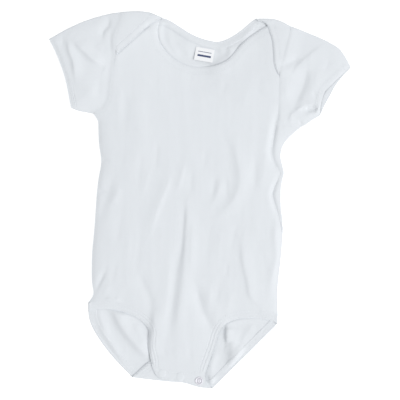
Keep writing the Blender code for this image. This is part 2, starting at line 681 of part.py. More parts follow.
def cut_before(line, turn):
    """The part of a line that ends a seam's gap before a band's turn."""
    span = turn.pivot - turn.corner
    return line[(line - turn.pivot) @ (span / np.linalg.norm(span)) > GAP + 0.5]


def build_front():
    """The front, which ends under the laps, and the placket of its tab."""
    left_leg, right_leg = leg_bands()
    gap = GAP / 2
    tuck = 2 * FOLD_INSET
    neck = panel_line(rungs(smooth(NECK_FRONT), -NECK_BAND_WIDTH))
    top_left = beside(smooth(SHOULDER_LEFT), -tuck)
    top_left = top_left[(top_left[:, 0] < neck[0][0] - 3) & (top_left[:, 0] > -79)]
    top_right = beside(smooth(SHOULDER_RIGHT), -tuck)
    top_right = top_right[(top_right[:, 0] > neck[-1][0] + 2) & (top_right[:, 0] < 94)]
    seam = np.vstack([
        beside(body_edge("seam", 0, STRIP_END), -gap), body_edge("right", STRIP_END + 1, 17)])
    armhole_left = beside(smooth(ARMHOLE_LEFT), gap)[1:]
    armhole_right = beside(smooth(ARMHOLE_RIGHT), -gap)[1:]
    tab = beside(smooth(TAB_LINE), gap)
    front = Surface()
    leg_left, leg_right = panel_line(left_leg[0])[1:], panel_line(right_leg[0])[1:]
    tab = tab[(tab[:, 0] > leg_left[-1][0] + 2) & (tab[:, 0] < leg_right[-1][0] - 2)]
    front.sheet(loop_of(
        top_left, neck, top_right, armhole_right, seam,
        leg_right, tab[::-1], leg_left[::-1], SIDE_LEFT[::-1][1:], armhole_left[::-1][1:],
    ), front_height)
    front.build("front", "knit", CLOTH)
    placket = Surface()
    placket.sheet(loop_of(
        beside(smooth(TAB_LINE), -gap), smooth(TAB_RIGHT)[::-1][1:-1], smooth(TAB_HEM)[::-1],
    ), leg_height, 5.0)
    placket.build("tab_front", "knit", BAND)


def build_sleeve(name, tops, cuffs, unders, armholes):
    """A flat tube: two layers joined along the top and under the arm."""
    side = 1 if name.endswith("left") else -1
    fold_top = folded(smooth(tops), side, sleeve_height, start=GAP)
    fold_under = folded(smooth(unders), side, sleeve_height, end=GAP)
    surface = Surface()
    for cuff, armhole, height, spacing in zip(
        cuffs, armholes, (floor_height, sleeve_height), (MESH_COARSE, MESH_FINE)
    ):
        line = beside(armhole, -side * GAP / 2)
        surface.sheet(loop_of(
            fold_top[0], smooth(cuff)[1:-1], fold_under[0], line[1:-1][::-1]), height, spacing)
    surface.bend(*fold_top)
    surface.bend(*fold_under)
    surface.build(name, "knit", CLOTH)


# ---- the label and the poppers ----

def build_label():
    """A bare satin label, sewn below the back neck's band and lying on the back."""
    bpy.ops.mesh.primitive_cube_add(size=1)
    obj = bpy.context.object
    obj.name = obj.data.name = "label"
    obj.scale = (LABEL_SIZE[0] * MM, LABEL_SIZE[1] * MM, CLOTH * MM)
    obj.rotation_euler[2] = LABEL_TILT * pi / 180
    obj.location = Vector((4.6, 153.9, 1.5 * CLOTH + GAP)) * MM
    bpy.ops.object.transform_apply(location=True, rotation=True, scale=True)
    claim(obj, "satin")


def build_popper(name, x, y):
    """A ring snap's cap: a low turned disc with a raised rim and a sunk middle."""
    spot = np.array([(x + dx, y + dy) for dx in (-4, 0, 4) for dy in (-4, 0, 4)])
    base = leg_height(spot).max() + GAP
    radius = POPPER_RADIUS
    profile = [(0, 0), (radius - 0.3, 0), (radius, 0.35), (radius - 0.2, 0.9), (radius - 0.8, 1.25),
               (radius - 1.6, 1.1), (radius - 2.1, 0.6), (0, 0.55)]
    mesh = bpy.data.meshes.new(name)
    mesh.from_pydata(
        [(r * MM, 0, z * MM) for r, z in profile], [(k, k + 1) for k in range(len(profile) - 1)], [])
    obj = bpy.data.objects.new(name, mesh)
    obj.location = Vector((x, y, base)) * MM
    PIECES.objects.link(obj)
    turn = obj.modifiers.new("turn", "SCREW")
    turn.steps = turn.render_steps = 28
    turn.use_merge_vertices = True
    turn.merge_threshold = 1e-5
    turn.use_normal_calculate = True
    mesh.materials.append(material("popper"))
    return obj


def claim(obj, finish):
    """Moves an object made by an operator into the collection, with its material."""
    for collection in list(obj.users_collection):
        collection.objects.unlink(obj)
    PIECES.objects.link(obj)
    obj.data.materials.clear()
    obj.data.materials.append(material(finish))


clear_scene()
PIECES = bpy.data.collections.new("baby_onesie")
bpy.context.scene.collection.children.link(PIECES)
build_back()
build_front()
build_sleeve(
    "sleeve_left", SLEEVE_TOP_LEFT, (CUFF_LEFT, CUFF_LEFT), UNDERARM_LEFT,
    (smooth(ARMHOLE_LEFT), smooth(ARMHOLE_LEFT)))
build_sleeve(
    "sleeve_right", SLEEVE_TOP_RIGHT, (CUFF_RIGHT_BELOW, CUFF_RIGHT_ABOVE), UNDERARM_RIGHT,
    (smooth(ARMHOLE_RIGHT_BELOW), np.vstack([smooth(ARMHOLE_RIGHT)[:-1], smooth(ARMPIT_RIGHT)])))
build_neck()
for leg, stretches, hip, foot in zip(
    ("left", "right"), leg_bands(), (LEFT_SIDE, RIGHT_SIDE), (LEFT_FOOT, RIGHT_FOOT)
):
    build_leg("leg_band_" + leg, stretches, hip, foot)
build_label()
for spot, (x, y) in {"left": (-40, -183.4), "middle": (-21, -187), "right": (-1, -191.2)}.items():
    build_popper("popper_" + spot, x, y)
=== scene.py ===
"""Looks of a baby bodysuit laid flat with its front up: knitted panels, bindings, stitches,
label and poppers.

Plan sizes are in millimetres until a mesh is written, in metres. X runs to the viewer's
right, Y towards the neck and Z up. Each cloth piece is an open shell, the outer face of the
cloth, that Solidify thickens inwards. Lower layers lie at z = 0, upper ones follow Relief.
"""

import logging
from collections.abc import Callable, Sequence
from dataclasses import dataclass
from enum import Enum
from math import cos, pi, radians, sin
from typing import ClassVar

import bmesh
import bpy
import numpy as np
from mathutils import Matrix, Vector
from mathutils.geometry import delaunay_2d_cdt
from mathutils.noise import noise
from numpy.linalg import norm


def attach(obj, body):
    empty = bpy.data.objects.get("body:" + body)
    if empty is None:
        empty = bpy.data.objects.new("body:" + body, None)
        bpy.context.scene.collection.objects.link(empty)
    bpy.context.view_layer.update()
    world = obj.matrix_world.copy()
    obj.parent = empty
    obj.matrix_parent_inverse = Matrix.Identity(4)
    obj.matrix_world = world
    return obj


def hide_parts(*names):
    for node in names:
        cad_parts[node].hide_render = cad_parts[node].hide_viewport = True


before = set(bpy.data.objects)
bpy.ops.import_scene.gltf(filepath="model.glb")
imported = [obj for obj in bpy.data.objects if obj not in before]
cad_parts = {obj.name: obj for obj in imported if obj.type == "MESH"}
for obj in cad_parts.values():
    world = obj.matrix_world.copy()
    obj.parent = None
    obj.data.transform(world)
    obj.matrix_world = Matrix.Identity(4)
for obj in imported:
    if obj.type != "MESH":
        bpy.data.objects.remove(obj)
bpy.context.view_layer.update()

log = logging.getLogger("bodysuit")

Array = np.ndarray
Line = Array  # rows of x and y
Pair = tuple[float, float]
Rungs = list[Line]  # a band's edge and its inner line, one point for each rung
Heights = Callable[[Line], Array]
Colour = tuple[float, float, float]
Socket = bpy.types.NodeSocket
Inputs = dict[str | int, object]  # values or sockets, by an input's name or place

MM = 0.001
CLOTH = 1.0  # wall of the knitted cloth
BAND = 1.3  # wall of a binding, which is folded double
GAP = 0.3  # between layers
SEAM = 0.01  # between two pieces that are sewn together
NECK_BAND_WIDTH = 8.0
LEG_BAND_WIDTH = 8.5
TAB_TOP = 3.0  # top of the back tab, folded up over the lower layer
FINE = 1.6  # point spacing of a layer that shows
FINER = 1.2  # and of one with small creases
COARSE = 3.2  # point spacing of a layer below it
STEP = 1.6  # point spacing along an edge
PLAN_STEP = 4.0  # point spacing of the lines that heights are measured from
BEND_STEPS = 9
PROUD = 0.02  # how far a binding stands above the cloth that it is sewn to
STITCH_PITCH = 3.1
STITCH_LENGTH = 1.9
THREAD = 0.42  # its thickness
ROW_REACH = 0.45  # how far from a row of stitches the cloth is drawn in
SOFT_DEPTH = 0.8  # how much thinner the softest rim of a band is
SOFT_REACH = 1.6  # how far in from a softened rim a band is thinner
ROW_HEIGHT = 0.866  # of a lattice of even triangles, as a share of its spacing
CLOSE = 0.3  # the least gap between points of a panel's edge along a band
REPEAT = 0.2  # points of a loop closer than this are one
WIDE = 2.6  # gaps in a loop wider than this get points between them
CREASE_STEP = 3.0  # point spacing of a crease's path
CREASE_REACH = 2.6  # how many half widths from its path a crease is worked out
CREASE_END = 0.3  # the share of a crease's length over which it fades out
FLAT_RIM = 0.7  # how upright a rim's normal is where its wall is set upright
LONGEST_WALL = 1.3  # how far an inner point may be thrown, as a share of the wall
WELD = 2e-6  # points closer than this are joined, in metres
STOP_SHORT = 2.5 * GAP  # how far from a barrier a band's rungs end
LEAST_RUNG = 0.6
AT_FOLD = 2.1  # how far from a fold the points of a seam that meets it stay
TURN_TAPER = 0.25  # how much of a turn's reach is left at its corner
TIP_CLEAR = 2.8  # how far from a fold's end the rungs of a band stop
TURN_WALL = 0.45  # the thickest wall in a turn, as a share of its height there
TURN_PULL = 2.2  # how many widths of a band from a turn its rungs end at it
TURN_FADE = 3.0  # how far from a turn a band's section is flatter
TURN_ROOM = 2.0  # how far from a turn its stitches stop
TURN_REACH = 3.5  # how far from a turn a band's height eases to the turn's
SMOOTH_BELOW = radians(50)  # the sharpest edge of cloth that is shaded smooth


def eased(part: Array) -> Array:
    """Returns shares from 0 to 1 with a gentle start and end."""
    return part * part * (3 - 2 * part)


def bell(away: Array, reach: float | Array, power: float = 2) -> Array:
    """Returns 1 at a distance of 0, falling away past a reach."""
    return np.exp(-((away / reach) ** power))


class Side(Enum):
    """Which side of the bodysuit, as seen from above."""

    LEFT = 1
    RIGHT = -1


class Hold(Enum):
    """How a sheet of cloth is held."""

    LAID = "laid"
    FOLDED = "folded"


class PopperLook(Enum):
    """The face that a popper shows: its metal ring, or a plain cap."""

    RING = "ring"
    CAP = "cap"


@dataclass(frozen=True)
class Row:
    """One row of the body: its height, its two edges and the side seam rolled to the front."""

    y: float
    left: float
    right: float
    seam: float


@dataclass(frozen=True)
class Fold:
    """One crease: its height (a trough is less than 0), its half width on the far side from
    the light and on the side towards it, and its path."""

    height: float
    away: float
    toward: float
    path: Sequence[Pair]


@dataclass(frozen=True)
class Turn:
    """Where a band goes round a folded edge."""

    corner: Array
    pivot: Array
    out: Array
    tip: Array
    top: float
    droop: float = 1.0  # the share of its height at the corner
    rise_by: float = 0.45  # the share of the band's width where it has its full height

    def line(self) -> Line:
        """Returns the line that it turns about, across the band."""
        return np.array([self.corner, self.pivot])

    def height(self, share: Array) -> Array:
        """Returns its height at shares of the band's width, lower towards the corner."""
        part = np.clip(np.asarray(share) / self.rise_by, 0, 1)
        rise = self.droop + (1 - self.droop) * eased(part)
        return np.minimum(self.top, np.maximum(self.top * rise, 2 * BAND + 0.05))

    def along(self) -> Array:
        """Returns the way along the fold, from its corner on."""
        way = np.array([self.out[1], -self.out[0]])
        return way * np.sign(way @ (self.pivot - self.corner))

    def end(self) -> Array:
        """Returns where its inner end meets the outline, a seam's gap past it."""
        return self.pivot + self.out * self.top / 2 + self.along() * SEAM

    def taper(self, share: Array) -> Array:
        """Returns how far it reaches out at shares of the width, least at the corner."""
        return TURN_TAPER + (1 - TURN_TAPER) * np.asarray(share)


# The body from its armpits down to its hips.
BODY = [Row(*row) for row in (
    (77.5, -107.7, 107.5, 81.0), (73.0, -107.6, 102.0, 79.8), (65.5, -107.3, 93.8, 78.4),
    (59.0, -106.9, 88.8, 77.5), (52.5, -106.0, 86.2, 77.1), (44.5, -104.8, 85.6, 77.8),
    (36.0, -105.0, 87.6, 81.6), (28.5, -106.5, 89.0, 85.2), (21.5, -107.6, 87.3, 82.6),
    (12.0, -108.8, 85.9, 78.5), (5.5, -109.4, 85.6, 77.0), (-2.5, -110.0, 85.6, 79.2),
    (-12.0, -110.6, 86.3, 82.2), (-24.0, -111.4, 88.0, 84.8), (-40.0, -112.8, 87.4, 87.4),
    (-58.0, -114.4, 86.0, 86.0), (-84.5, -114.6, 83.0, 83.0), (-99.5, -113.0, 81.8, 81.8),
    (-108.5, -118.2, 82.0, 82.0), (-121.0, -118.6, 82.4, 82.4),
)]
STRIP_END = 13  # the last row where the strip shows
LEFT_HIP = 18  # the row where the left leg band starts
RIGHT_HIP = 17  # the last row above the right one

# Edges, each from its first corner to its last.
SHOULDER_LEFT = [(-80.5, 199.4), (-69, 200), (-58, 199.5), (-48.5, 197.5), (-40, 193.5)]
NECK_BACK = [(-40, 193.5), (-31.5, 190), (-21, 183.5), (-10.5, 176.8), (0, 172), (10.5, 169),
             (20, 167.8), (31.5, 172), (42.5, 179), (52, 187), (59, 192.4)]
SHOULDER_RIGHT = [(59, 192.4), (65.5, 193.4), (74, 192.5), (84.5, 190), (96.5, 184)]
ARMHOLE_LEFT = [(-80.5, 199.4), (-82.5, 190.5), (-87, 180), (-90, 171), (-90, 163), (-89, 154),
                (-91.5, 137.5), (-93.2, 124), (-95, 108), (-98.5, 99.5), (-104, 93.5), (-113, 91.5)]
ARMHOLE_RIGHT = [(96.5, 184), (94.5, 176.5), (91, 163), (88.5, 153.5), (86, 143), (84.2, 131),
                 (83.5, 116.5), (83, 100.5), (82.2, 83.6)]
ARMPIT_RIGHT = [(82.2, 83.6), (90, 79.8), (98.5, 77.6), (107.5, 77.5)]
ARMHOLE_RIGHT_BELOW = [(96.5, 184), (95, 150), (96.5, 115), (101, 93), (107.5, 77.5)]
SLEEVE_TOP_LEFT = [(-80.5, 199.4), (-96.5, 197.2), (-118.5, 191), (-139.5, 182), (-160, 170.5)]
CUFF_LEFT = [(-160, 170.5), (-151.5, 153), (-143, 129), (-138.5, 107), (-136.5, 97.5)]
UNDERARM_LEFT = [(-136.5, 97.5), (-129, 94.5), (-121.5, 93), (-113, 91.5)]
SLEEVE_TOP_RIGHT = [(96.5, 184), (106, 180.5), (127, 172), (139, 166), (148, 160), (154.5, 151),
                    (160, 140.5)]
CUFF_RIGHT_BELOW = [(160, 140.5), (151.5, 131.5), (144, 122), (137, 109), (132, 100), (127, 89.5)]
CUFF_RIGHT_ABOVE = [(160, 140.5), (150, 132), (141, 123.5), (133, 115.5), (129.5, 107), (127.5, 98),
                    (127, 89.5)]
UNDERARM_RIGHT = [(127, 89.5), (118.5, 84.3), (112.5, 80), (107.5, 77.5)]
NECK_FRONT = [(-41.5, 190.5), (-44.5, 184), (-44.8, 176), (-43, 168), (-38.5, 160.5), (-33, 154),
              (-25.5, 148), (-16.5, 143.5), (-6.5, 141), (6.5, 140.8), (18, 143), (28, 147.5),
              (35, 154.5), (41.5, 162), (49.5, 170), (59, 177), (68, 182.5), (75, 186)]
LAP_LEFT = [(-88.2, 153.8), (-79.5, 162), (-70, 170.3), (-60.5, 179), (-53, 185.6), (-47, 189.2),
            (-42.5, 190.8)]
LAP_RIGHT = [(62, 189.2), (66.5, 188.6), (71, 185.3), (74, 177.5), (76.5, 168), (77.6, 157.5),
             (78.2, 147), (80, 138.5), (83.2, 132.4)]
LEG_FRONT_LEFT = [(-118.4, -117.5), (-113, -116), (-106, -115), (-97.5, -115.3), (-85.5, -117.5),
                  (-75, -121), (-65.5, -126), (-57.5, -132.5), (-54, -139), (-54.6, -146),
                  (-55, -155), (-53.5, -163), (-51.2, -173)]
LEG_BACK_LEFT = [(-118.4, -119), (-117.2, -126.5), (-114.5, -134), (-110, -142.3), (-102.5, -153.5),
                 (-93, -165.5), (-83.5, -176), (-76, -183.5), (-72, -187.6)]
LEG_FRONT_RIGHT = [(82, -130.3), (76, -128), (67.5, -126), (59, -125), (49.5, -125), (40, -126),
                   (31.5, -128.8), (24.5, -133.5), (20, -140.5), (17.5, -149), (14.5, -158.5),
                   (11, -168), (6.2, -181)]
LEG_BACK_RIGHT = [(81.6, -132), (72, -141.5), (61, -152.5), (49, -164.5), (38, -175.3),
                  (28, -185.3), (19, -194.3), (13, -199.6)]
BOTTOM = [(-72, -187.9), (-53, -190.3), (-34, -192.4), (-17, -193.8), (-5, -197.3), (4, -199.3),
          (13, -199.9)]
TAB_LINE = [(-34, -180.4), (-20, -181.8), (-9, -181.6)]
TAB_HEM = [(-50.5, -176.5), (-47, -184.5), (-41.5, -188.7), (-33, -191.2), (-17, -193),
           (-5, -196.6), (6.2, -198.6)]
TAB_RIGHT = [(6.2, -198.6), (5.6, -191), (5.2, -184.5)]
BACK_TAB_TOP = [(-46, -168), (-30, -171), (-12, -174), (0, -180)]
BACK_TAB_LEFT = [(-72, -187.6), (-64.5, -180.5), (-57, -174), (-52, -170), (-47.5, -166.5)]
BACK_TAB_RIGHT = [(13, -199.6), (8, -193.5), (4, -187), (0.5, -180)]
NECK_GAPE = [(22, 145), (35, 154.5), (44, 165)]  # where the front stands off the back

# Creases of the upper layer.
FOLDS = [Fold(*row[:3], row[3:]) for row in (
    # body
    (-0.79, 4.5, 1.4, (-16.6, 0), (-16.9, -21.2), (-18.4, -44.4), (-21.2, -69.8)),
    (0.72, 1.6, 7.6, (-13.5, 0), (-14.4, -23.3), (-15.9, -45.5), (-17.5, -69.8)),
    (-1.22, 7.2, 4.8, (-20.1, -42.3), (-23.8, -69.8), (-26.9, -93.1), (-29.6, -114.3),
     (-32.3, -141.8)),
    (1.22, 4.7, 9.3, (-15.2, -42.3), (-16.7, -63.5), (-18.3, -84.6), (-20.6, -105.8),
     (-23.5, -124.8), (-26.5, -141.8)),
    (0.65, 3.1, 6.8, (-7.4, -23.3), (-9, -52.9), (-9.5, -74.1)),
    (0.58, 6.3, 3.8, (-31.7, -65.6), (-33.9, -95.2), (-38.1, -127), (-41.3, -158.7)),
    (1.01, 8.1, 2.7, (-29.6, 29.6), (-37, 8.5), (-45.5, -12.7), (-52.9, -37)),
    (0.65, 5.4, 2.2, (-15.9, 40.2), (-20.1, 21.2), (-24.3, 8.5)),
    (-0.58, 4.5, 2.5, (-8.5, 31.7), (-9.5, 8.5)),
    (-0.65, 4.5, 2.5, (16.9, 25.4), (12.7, 2.1)),
    (0.65, 3.6, 3.1, (22.2, 21.2), (19, 8.5), (12.7, -6.3)),
    (-0.43, 2.9, 1.9, (27.5, 23.3), (28.6, 0)),
    (1.44, 4.5, 8.5, (30.7, 74.1), (38.1, 50.8), (42.3, 25.4), (39.1, 7.4), (29.6, -7.4),
     (16.9, -21.2)),
    (0.43, 7.2, 7.6, (49.7, 65.6), (50.8, 44.4), (49.7, 20.1)),
    (-0.79, 5.4, 3.4, (58.2, 44.4), (58.2, 8.5)),
    (0.43, 4.5, 5.1, (67.7, 52.9), (66.7, 14.8)),
    (1.44, 2.3, 8.5, (43.9, -40.2), (45.8, -65.6), (50.3, -85.7), (53.7, -102.6), (65.6, -113.2)),
    (-0.43, 2.2, 1.5, (29.1, -65.6), (27.5, -82.5)),
    (-2.09, 6.3, 4.8, (-5.8, -86.8), (0.5, -109), (6.3, -124.8), (16.9, -142.8)),
    (0.58, 4, 3.4, (16.9, -101.6), (15.9, -118.5), (14.8, -131.2)),
    (-0.72, 5.4, 3.4, (21.2, -84.6), (16.9, -107.9), (13.8, -130.1)),
    (0.5, 3.6, 3.4, (9.5, -95.2), (10.6, -112.1)),
    (-1.08, 6.3, 4.2, (-65.6, -76.2), (-54, -101.6), (-49, -124.8)),
    (1.94, 3.2, 7.6, (-49.9, -110), (-48.5, -124.8), (-49.7, -139.7), (-50.8, -154.5),
     (-48.1, -173.5)),
    (1.15, 6.8, 2.5, (30.7, -118.5), (25.4, -133.3), (20.1, -150.2), (12.7, -169.3),
     (4.2, -186.2)),
    (-1.87, 3.6, 1.4, (-99.5, -74.1), (-105.8, -87.3), (-114.8, -103.7)),
    (0.5, 4.5, 3.4, (-96.3, -88.9), (-102.6, -101.6)),
    (-1.08, 7.7, 4.7, (-91, 29.6), (-96.8, 9.5), (-103.7, -9.5), (-111.1, -29.6)),
    (0.94, 1.2, 2.5, (-101.6, -104.2), (-93.1, -104.7), (-83.6, -107.9)),
    (-0.94, 3.2, 1.3, (-63.5, 177.3), (-53.4, 184.1), (-46.6, 187.9), (-41.3, 189.5)),
    (0.65, 4.5, 4.2, (-84.6, 14.8), (-93.1, -6.3)),
    (2.02, 3.8, 4.2, (82.5, -14.8), (79.9, -38.1), (82, -59.2), (77.8, -76.2), (74.6, -99.5)),
    (0.58, 5.4, 2.5, (76.2, 86.8), (72.5, 65.6), (70.9, 48.7), (79.4, 33.9)),
    (-2.3, 4, 2.2, (83.6, 97.3), (80.4, 82.5), (77.2, 61.4), (75.8, 48.7), (80.4, 36), (92, 23.3)),
    (0.43, 4.5, 2.2, (76.2, 16.9), (73.5, 4.2), (77.2, -10.6)),
    (-3.02, 2.3, 1.4, (84.6, 27.5), (80.4, 16.9), (77, 5.3), (80.9, -9.5), (88.9, -27.5)),
    (-0.72, 10.8, 10.2, (-22.2, 128), (0, 123.8), (22.2, 128)),
    (-0.58, 8.1, 6, (-16.9, 141.8), (-2.1, 135.4), (14.8, 136.5)),
    (0.72, 10.8, 10.2, (-69.8, 119.6), (-65.6, 69.8), (-69.8, 20.1)),
    (0.36, 5.4, 4.2, (-84.6, 122.7), (-85.7, 86.8)),
    (-0.36, 5.4, 4.2, (-77.2, 114.3), (-79.4, 76.2)),
    (-0.36, 4.5, 3.4, (27.5, 127), (23.3, 110)),
    (-0.43, 6.3, 4.2, (63.5, 133.3), (61.4, 107.9)),
    (0.36, 5.4, 4.2, (49.7, 122.7), (46.6, 95.2)),
    (-0.36, 3.6, 2.5, (-44.4, 61.4), (-47.6, 31.7)),
    (-0.36, 4.5, 3, (-61.4, 52.9), (-65.6, 14.8)),
    (0.36, 4.5, 3, (-52.9, 33.9), (-61.4, 4.2)),
    (-0.29, 3.6, 2.5, (6.3, 52.9), (3.2, 31.7)),
    (-0.36, 4.5, 3.4, (-82.5, -10.6), (-88.9, -48.7)),
    (0.36, 4.5, 3.4, (-73, -23.3), (-77.2, -65.6)),
    (-0.36, 4.5, 3.4, (-62.4, -33.9), (-67.7, -74.1)),
    (-0.36, 5.4, 3.4, (11.6, -23.3), (7.4, -65.6)),
    (0.36, 5.4, 4.2, (23.3, -27.5), (18, -65.6)),
    (-0.36, 3.6, 2.5, (39.1, -23.3), (31.7, -55)),
    (0.29, 4.5, 3.4, (59.2, -14.8), (61.4, -42.3)),
    (-0.29, 4.5, 3.4, (65.6, -52.9), (69.8, -80.4)),
    (-0.36, 3.6, 3, (-88.9, -65.6), (-94.2, -91)),
    (-0.36, 4.5, 3.4, (-76.2, -93.1), (-80.4, -110)),
    (0.36, 4.5, 3.4, (33.9, -95.2), (29.6, -114.3)),
    (-0.36, 3.6, 2.5, (-39.1, -154.5), (-36, -175.6)),
    (0.29, 3.6, 2.5, (-25.4, -154.5), (-23.3, -175.6)),
    (-0.29, 3.6, 2.5, (-10.6, -154.5), (-10.6, -173.5)),
    (-4.32, 2.2, 1.9, (-114.3, 43.9), (-107.9, 42.8), (-99.5, 41.8)),
    (-3.96, 2.2, 1.9, (-116.4, 10.6), (-110, 9.5), (-102.6, 8.5)),
    (-1.87, 2.3, 2, (-57.1, 182), (-50.3, 184.1), (-43.4, 184.1)),
    # left sleeve
    (1.9, 2, 6.5, (-140.1, 172.5), (-138.8, 158.7), (-134.6, 147.1), (-133, 136.5), (-132.2, 127)),
    (2.3, 2.5, 8, (-133.3, 169.3), (-128.5, 162.4), (-122.2, 156.6), (-112.7, 147.6),
     (-100.5, 142.3)),
    (0.5, 8, 6, (-125.9, 132.2), (-118, 118), (-110, 107.9)),
    (-1.4, 5, 1.9, (-96.8, 196.8), (-96.8, 185.2), (-102, 178.8), (-103.4, 169.3)),
    (-0.4, 2.4, 1.5, (-94.2, 179.9), (-94.7, 169.3), (-94.2, 156.6)),
    (-0.6, 2.2, 1.4, (-145.7, 175.6), (-145.2, 161.9)),
    (-0.6, 2.2, 1.4, (-112.7, 196.8), (-114.8, 187.3)),
    (-0.4, 4, 3, (-105.8, 129.1), (-107.9, 110)),
    (0.4, 4, 4, (-110, 165), (-101.6, 158.7)),
    # right sleeve
    (-1.9, 10, 4, (112.7, 143.9), (111.1, 127), (105.8, 112.1), (97.3, 95.2)),
    (0.6, 5, 9, (127, 141.8), (121.7, 122.7), (116.4, 107.9)),
    (0.9, 1.7, 9, (133.3, 165.6), (122.2, 158.1), (111.6, 149.6), (102.6, 140.7), (96.3, 129.1)),
    (-1.3, 5, 4, (83.6, 140.7), (94.7, 144.9), (106.9, 151.3)),
    (0.8, 1.7, 4.5, (111.1, 101), (100, 93.1), (95.6, 87.8), (97.9, 78.3)),
    (-0.5, 1.6, 1.3, (120.4, 116.4), (121.5, 110.6), (124.8, 105.8)),
    (-4.2, 2.6, 2.2, (111.1, 94.4), (118.5, 96.3), (125.4, 95.2)),
    (2.8, 4.2, 2.4, (127.5, 101.6), (126.1, 96.3), (123.3, 91)),
    (0.7, 2.4, 2.4, (112.1, 101), (120.6, 102.2), (130.1, 101)),
    (1.2, 2.4, 2.4, (111.1, 88.9), (119.6, 91.2), (128, 91)),
    (-2, 1.6, 1.6, (105.3, 84.6), (109, 76.2)),
    (0.5, 1.5, 1.6, (101, 94.7), (110, 98.9)),
    (-0.4, 1.4, 1.4, (105.8, 93.1), (111.1, 97.3)),
    (-0.4, 4, 3, (137.5, 150.2), (131.2, 135.4)),
    (0.4, 4, 4, (92, 133.3), (91, 105.8)),
)]

# Creases of the lower layer, where it shows.
LOW_FOLDS = [Fold(*row[:3], row[3:]) for row in (
    (3.4, 4.4, 9, (-94.2, -109), (-87.8, -123.8), (-79.4, -138.6), (-68.8, -151.3),
     (-50.8, -170.3)),
    (1.5, 4, 4.5, (-109, -110), (-100.5, -139.7), (-79.4, -175.6)),
    (0.9, 4, 4, (-70.9, -129.1), (-62.4, -143.9), (-57.1, -156.6)),
    (1.5, 3.4, 4.2, (17.5, 158.2), (26.5, 160.2), (37, 160.8)),
    (1, 2.6, 4, (42.3, 164), (48.7, 173.5), (58.2, 183)),
    (0.6, 4, 4, (-25.4, 169.3), (-14.8, 158.7), (-8.5, 148.1)),
    (0.6, 3, 4, (-33.9, 175.6), (-29.6, 162.9), (-21.2, 150.2)),
    (1.2, 3.5, 4, (16.9, -160.8), (12.7, -173.5), (10.6, -184.1)),
    (3.2, 1.25, 8, (29, -132.8), (28.6, -141.8), (28.6, -152.4)),
    (2.2, 5, 6, (33.3, -146), (34.4, -158.7), (32.8, -169.3)),
    (3.4, 5, 4, (45.5, -152.4), (37.6, -166.1), (30.2, -178.8)),
    (1.8, 1.9, 4, (10.4, -185.2), (11.8, -192), (14.8, -197.8)),
    (0.6, 3.5, 5, (42.3, -133.3), (38.1, -146), (34.9, -158.7)),
    (0.8, 4, 5, (58.2, -129.1), (49.7, -141.8), (43.4, -152.4)),
)]


# ---- lines in the plan ----


def smooth(points: Sequence[Pair], step: float = STEP) -> Line:
    """Draws a Catmull-Rom curve through points.

    Args:
        points: The places that it passes.
        step: The spacing of the points that it returns.

    Returns:
        The curve, as points about a step apart.
    """
    p = np.array(points, float)
    ends = np.vstack([2 * p[0] - p[1], p, 2 * p[-1] - p[-2]])
    t = np.linspace(0, 1, 12, endpoint=False)[:, None]
    rows = []
    for a, b, c, d in zip(ends[:-3], ends[1:-2], ends[2:-1], ends[3:]):
        cubic = (3 * b - a - 3 * c + d) * t**3
        square = (2 * a - 5 * b + 4 * c - d) * t**2
        rows.append(0.5 * (2 * b + (c - a) * t + square + cubic))
    return resample(np.vstack(rows + [p[-1:]]), step)


def run_of(line: Line) -> Array:
    """Returns how far along a line each of its points is."""
    return np.concatenate([[0], np.cumsum(norm(np.diff(line, axis=0), axis=1))])


def points_at(line: Line, run: Array, at: Array) -> Line:
    """Returns the places at some lengths along a line, given the run of its own points."""
    return np.column_stack([np.interp(at, run, line[:, k]) for k in range(line.shape[1])])


def resample(line: Line, step: float) -> Line:
    """Spaces a line's points evenly.

    Args:
        line: The line, with two or three columns.
        step: The new spacing.

    Returns:
        The same line with points about a step apart.
    """
    run = run_of(line)
    return points_at(line, run, np.linspace(0, run[-1], max(2, round(run[-1] / step) + 1)))


def left_normals(line: Line) -> Line:
    """Returns unit normals to the left of a line's direction, one for each point."""
    along = np.gradient(line, axis=0)
    along /= norm(along, axis=1)[:, None]
    return np.column_stack([-along[:, 1], along[:, 0]])


def beside(line: Line, distance: float) -> Line:
    """Returns the line moved to its left, or to its right if the distance is below 0."""
    return line + distance * left_normals(line)


def beyond(points: Line, a: Array, s: Array) -> tuple[Array, Line]:
    """Finds the nearest place on a segment to each point.

    Args:
        points: The points.
        a: The segment's start.
        s: The way from there to its end.

    Returns:
        The share of the segment's length, and the way out from the place.
    """
    t = np.clip(((points - a) @ s) / max(s @ s, 1e-12), 0, 1)
    return t, points - a - t[:, None] * s


def located(points: Line, line: Line) -> tuple[Array, Array, Line]:
    """Finds the nearest place on a polyline to each point.

    Args:
        points: The points.
        line: The polyline.

    Returns:
        The distance, the share of the line's length, and the way out from the place.
    """
    run = run_of(line)
    best = np.full(len(points), np.inf)
    share, way = np.zeros(len(points)), np.zeros((len(points), 2))
    for k, (a, s) in enumerate(zip(line[:-1], np.diff(line, axis=0))):
        t, rest = beyond(points, a, s)
        gap = np.hypot(*rest.T)
        closer = gap < best
        best = np.where(closer, gap, best)
        share = np.where(closer, (run[k] + t * np.sqrt(s @ s)) / run[-1], share)
        way = np.where(closer[:, None], rest, way)
    return best, share, way


def distance_to(points: Line, line: Line) -> Array:
    """Returns how far each point is from a polyline."""
    best = np.full(len(points), np.inf)
    for a, s in zip(line[:-1], np.diff(line, axis=0)):
        _, rest = beyond(points, a, s)
        best = np.minimum(best, rest[:, 0] ** 2 + rest[:, 1] ** 2)
    return np.sqrt(best)


